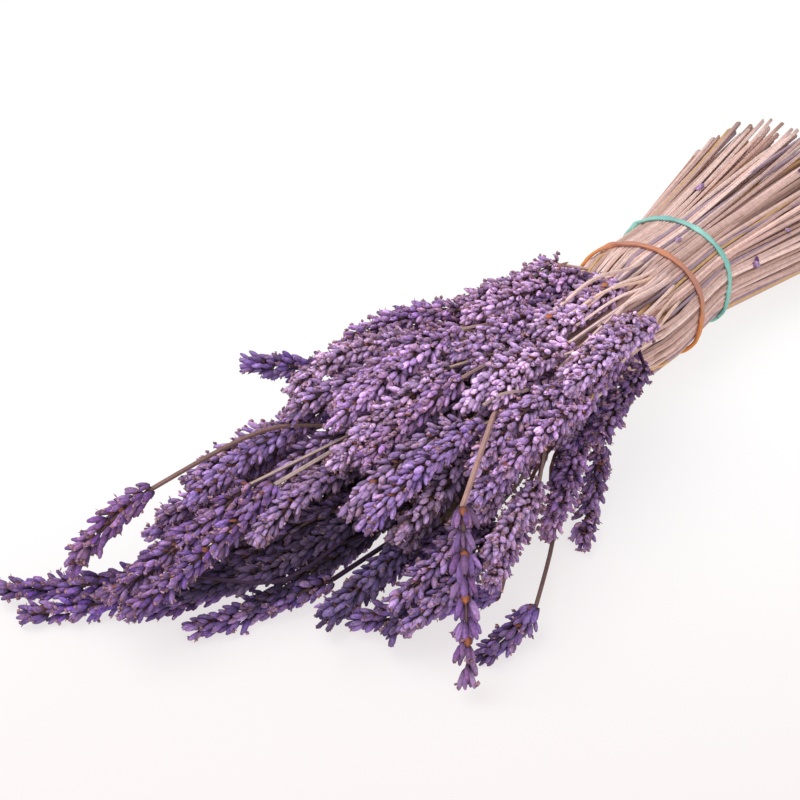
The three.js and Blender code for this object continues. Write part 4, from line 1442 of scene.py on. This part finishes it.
# ---------------------------------------------------------------- bands
@dataclass(frozen=True)
class Band:
    """A rubber band round the bundle."""

    name: str
    station: float
    slant: float  # how far along the bunch it moves for each millimetre across
    colours: tuple[tuple[float, Triple], ...]  # by the way round, in degrees from the near side
    twist: float  # where it is twisted, in degrees
    width: float = 2.8
    thickness: float = 1.5
    gap: float = 0.15
    steps: int = 160
    sides: int = 12

    def shape(self, outline: Outline) -> Shape:
        """The band's surface.

        Args:
            outline: the outline of the bunch that it goes round.

        Returns:
            A ring: a flattened section carried round the bundle at a small gap, turned over once.
        """
        way = 2 * np.pi * np.arange(self.steps) / self.steps
        corner = 2 * np.pi * np.arange(self.sides) / self.sides
        from_twist = (np.degrees(way) - self.twist + 180) % 360 - 180
        turned = np.pi * smooth(from_twist, -14, 14)
        ripple = (0.2 * np.sin(9 * way) + 0.16 * np.sin(23 * way + 1)) * smooth(np.abs(from_twist), 10, 30)
        lean = (turned + ripple)[:, None]
        across, out = (
            size / 2 * np.sign(wave) * np.abs(wave) ** 0.8
            for size, wave in ((self.width, np.cos(corner)), (self.thickness, np.sin(corner)))
        )
        along = across * np.cos(lean) - out * np.sin(lean)
        proud = self.gap + self.thickness / 2 + across * np.sin(lean) + out * np.cos(lean)
        middle = self.station + self.slant * outline.point(self.station, way, 0)[:, 1]
        vertices = outline.sagging(outline.point(middle[:, None], way[:, None], -proud))
        vertices[..., 0] = middle[:, None] + along
        marks, tones = zip(*self.colours)
        tones = np.array([linear(tone) for tone in tones])
        tone = np.stack([np.interp(np.degrees(way), marks, tones[:, c]) for c in range(3)], axis=1)
        tint = tinted(tone, np.ones(self.sides), 0.5 + 0.5 * np.sin(3 * corner))
        step, k = np.divmod(np.arange(self.steps * self.sides), self.sides)
        ahead, beside = (step + 1) % self.steps * self.sides, (k + 1) % self.sides
        step = step * self.sides
        corners = np.stack([step + k, step + beside, ahead + beside, ahead + k], axis=1)
        sizes = np.full(len(corners), 4)
        return Shape(vertices.reshape(-1, 3), tint.reshape(-1, 4), corners.ravel(), sizes, 0 * sizes)


BANDS = (
    Band("band_mint", 0, 0, (
        (0, (142, 204, 192)), (40, (128, 190, 180)), (70, (156, 210, 200)), (100, (122, 182, 178)),
        (130, (148, 206, 194)), (330, (118, 184, 174)), (360, (142, 204, 192)),
    ), 140),
    Band("band_amber", 30, -0.19, (
        (0, (196, 132, 96)), (30, (184, 128, 112)), (75, (202, 136, 104)), (110, (188, 128, 110)),
        (140, (218, 140, 72)), (300, (214, 132, 58)), (345, (210, 128, 66)), (360, (196, 132, 96)),
    ), 118),
)


# ---------------------------------------------------------------- studio
@dataclass(frozen=True)
class Softbox:
    """A square lamp that faces the bunch, in metres and watts."""

    name: str
    place: Triple
    size: float
    power: float


@dataclass(frozen=True)
class Studio:
    """A pale floor, soft white light, and the camera at the photograph's angle."""

    azimuth: float = 125.0
    elevation: float = 35.5
    lens: float = 76.5
    camera_place: Triple = (577, 260, 403)
    floor_reach: float = 4.0
    floor_tone: float = 0.22
    glow: Triple = (0.76, 0.76, 0.76)
    near_glow: Triple = (0.652, 0.578, 0.578)
    sky: Triple = (1, 0.99, 0.99)
    sky_strength: float = 0.55
    lamps: tuple[Softbox, ...] = (
        Softbox("key_light", (0.5, -0.5, 1.3), 1.3, 16), Softbox("fill_light", (0.9, 0.9, 0.9), 1.2, 7),
    )

    def build(self, shift: Array) -> None:
        """Makes the floor, the lights and the camera.

        Args:
            shift: from the bunch's own frame to the CAD frame, in metres.
        """
        scene = bpy.context.scene
        self.floor()
        scene.world = bpy.data.worlds.new("studio")
        scene.world.use_nodes = True
        background = scene.world.node_tree.nodes["Background"].inputs
        background["Color"].default_value = (*self.sky, 1)
        background["Strength"].default_value = self.sky_strength
        for box in self.lamps:
            lamp = bpy.data.lights.new(box.name, "AREA")
            lamp.size, lamp.energy = box.size, box.power
            self.aimed(box.name, lamp, Vector(box.place), Vector(box.place))
        a, e = math.radians(self.azimuth), math.radians(self.elevation)
        back = Vector((math.sin(a) * math.cos(e), -math.cos(a) * math.cos(e), math.sin(e)))
        camera = bpy.data.cameras.new("camera")
        camera.lens, camera.clip_start = self.lens, 0.02
        place = Vector(np.array(self.camera_place) * MM + shift)
        scene.camera = self.aimed("camera", camera, place, back)
        scene.view_settings.view_transform = "Standard"

    def aimed(self, name: str, data: bpy.types.ID, place: Vector, back: Vector) -> bpy.types.Object:
        """A lamp or camera that is turned to the bunch.

        Args:
            name: its name.
            data: what it is.
            place: where it stands, in metres.
            back: the direction that it turns its back to.

        Returns:
            The object.
        """
        made = added(name, data)
        made.location = place
        made.rotation_mode = "QUATERNION"
        made.rotation_quaternion = (-back).to_track_quat("-Z", "Y")
        return made

    def floor(self) -> None:
        """A wide matt floor, lit from within as a light table is, and faintly pink towards the camera."""
        reach, turn = self.floor_reach, math.radians(self.azimuth)
        mesh = bpy.data.meshes.new("floor")
        corners = [(-reach, -reach, 0), (reach, -reach, 0), (reach, reach, 0), (-reach, reach, 0)]
        mesh.from_pydata(corners, [], [(0, 1, 2, 3)])
        wiring = Wiring("pale_floor")
        place = wiring.add("TexCoord", {}).outputs["Object"]
        to_camera = (math.sin(turn), -math.cos(turn), 0)
        ahead = wiring.add("VectorMath", {0: place, 1: to_camera}, "DOT_PRODUCT").outputs["Value"]
        blush = wiring.add("MapRange", {"Value": ahead, "From Min": 0.0, "From Max": 0.3})
        ramp = wiring.add("ValToRGB", {"Fac": blush.outputs["Result"]})
        for element, colour in zip(ramp.color_ramp.elements, (self.glow, self.near_glow)):
            element.color = (*colour, 1)
        wiring.feed(wiring.shader, {
            "Base Color": (*[self.floor_tone] * 3, 1), "Roughness": 0.9,
            "Emission Color": ramp.outputs["Color"], "Emission Strength": 1.0,
        })
        mesh.materials.append(wiring.material)
        floor = added("floor", mesh)
        floor.location = (0, 0, -0.0002)


def main() -> None:
    """Builds the bunch round the frame and puts it in the studio."""
    logging.basicConfig(level=logging.INFO, format="%(message)s")
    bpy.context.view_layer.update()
    outline = Outline()
    lowest, highest = (np.array(corner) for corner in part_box("band_mint"))
    shift = (lowest + highest) / 2 - outline.point(0, np.pi / 2, 0) * MM
    shift[2] = 0
    dresser = Dresser(shift)
    sprigs = Sprigs(outline)
    Spikes(sprigs, dresser).build()
    Stalks(sprigs, dresser, np.random.default_rng(SEED)).build()
    Litter(sprigs, dresser, np.random.default_rng(SEED + 1)).build()
    for band in BANDS:
        dresser.dress(f"rubber_{band.name}", band.shape(outline), (RUBBER,), band.name, [band.name])
    Studio().build(shift)


if __name__ == "__main__":
    main()
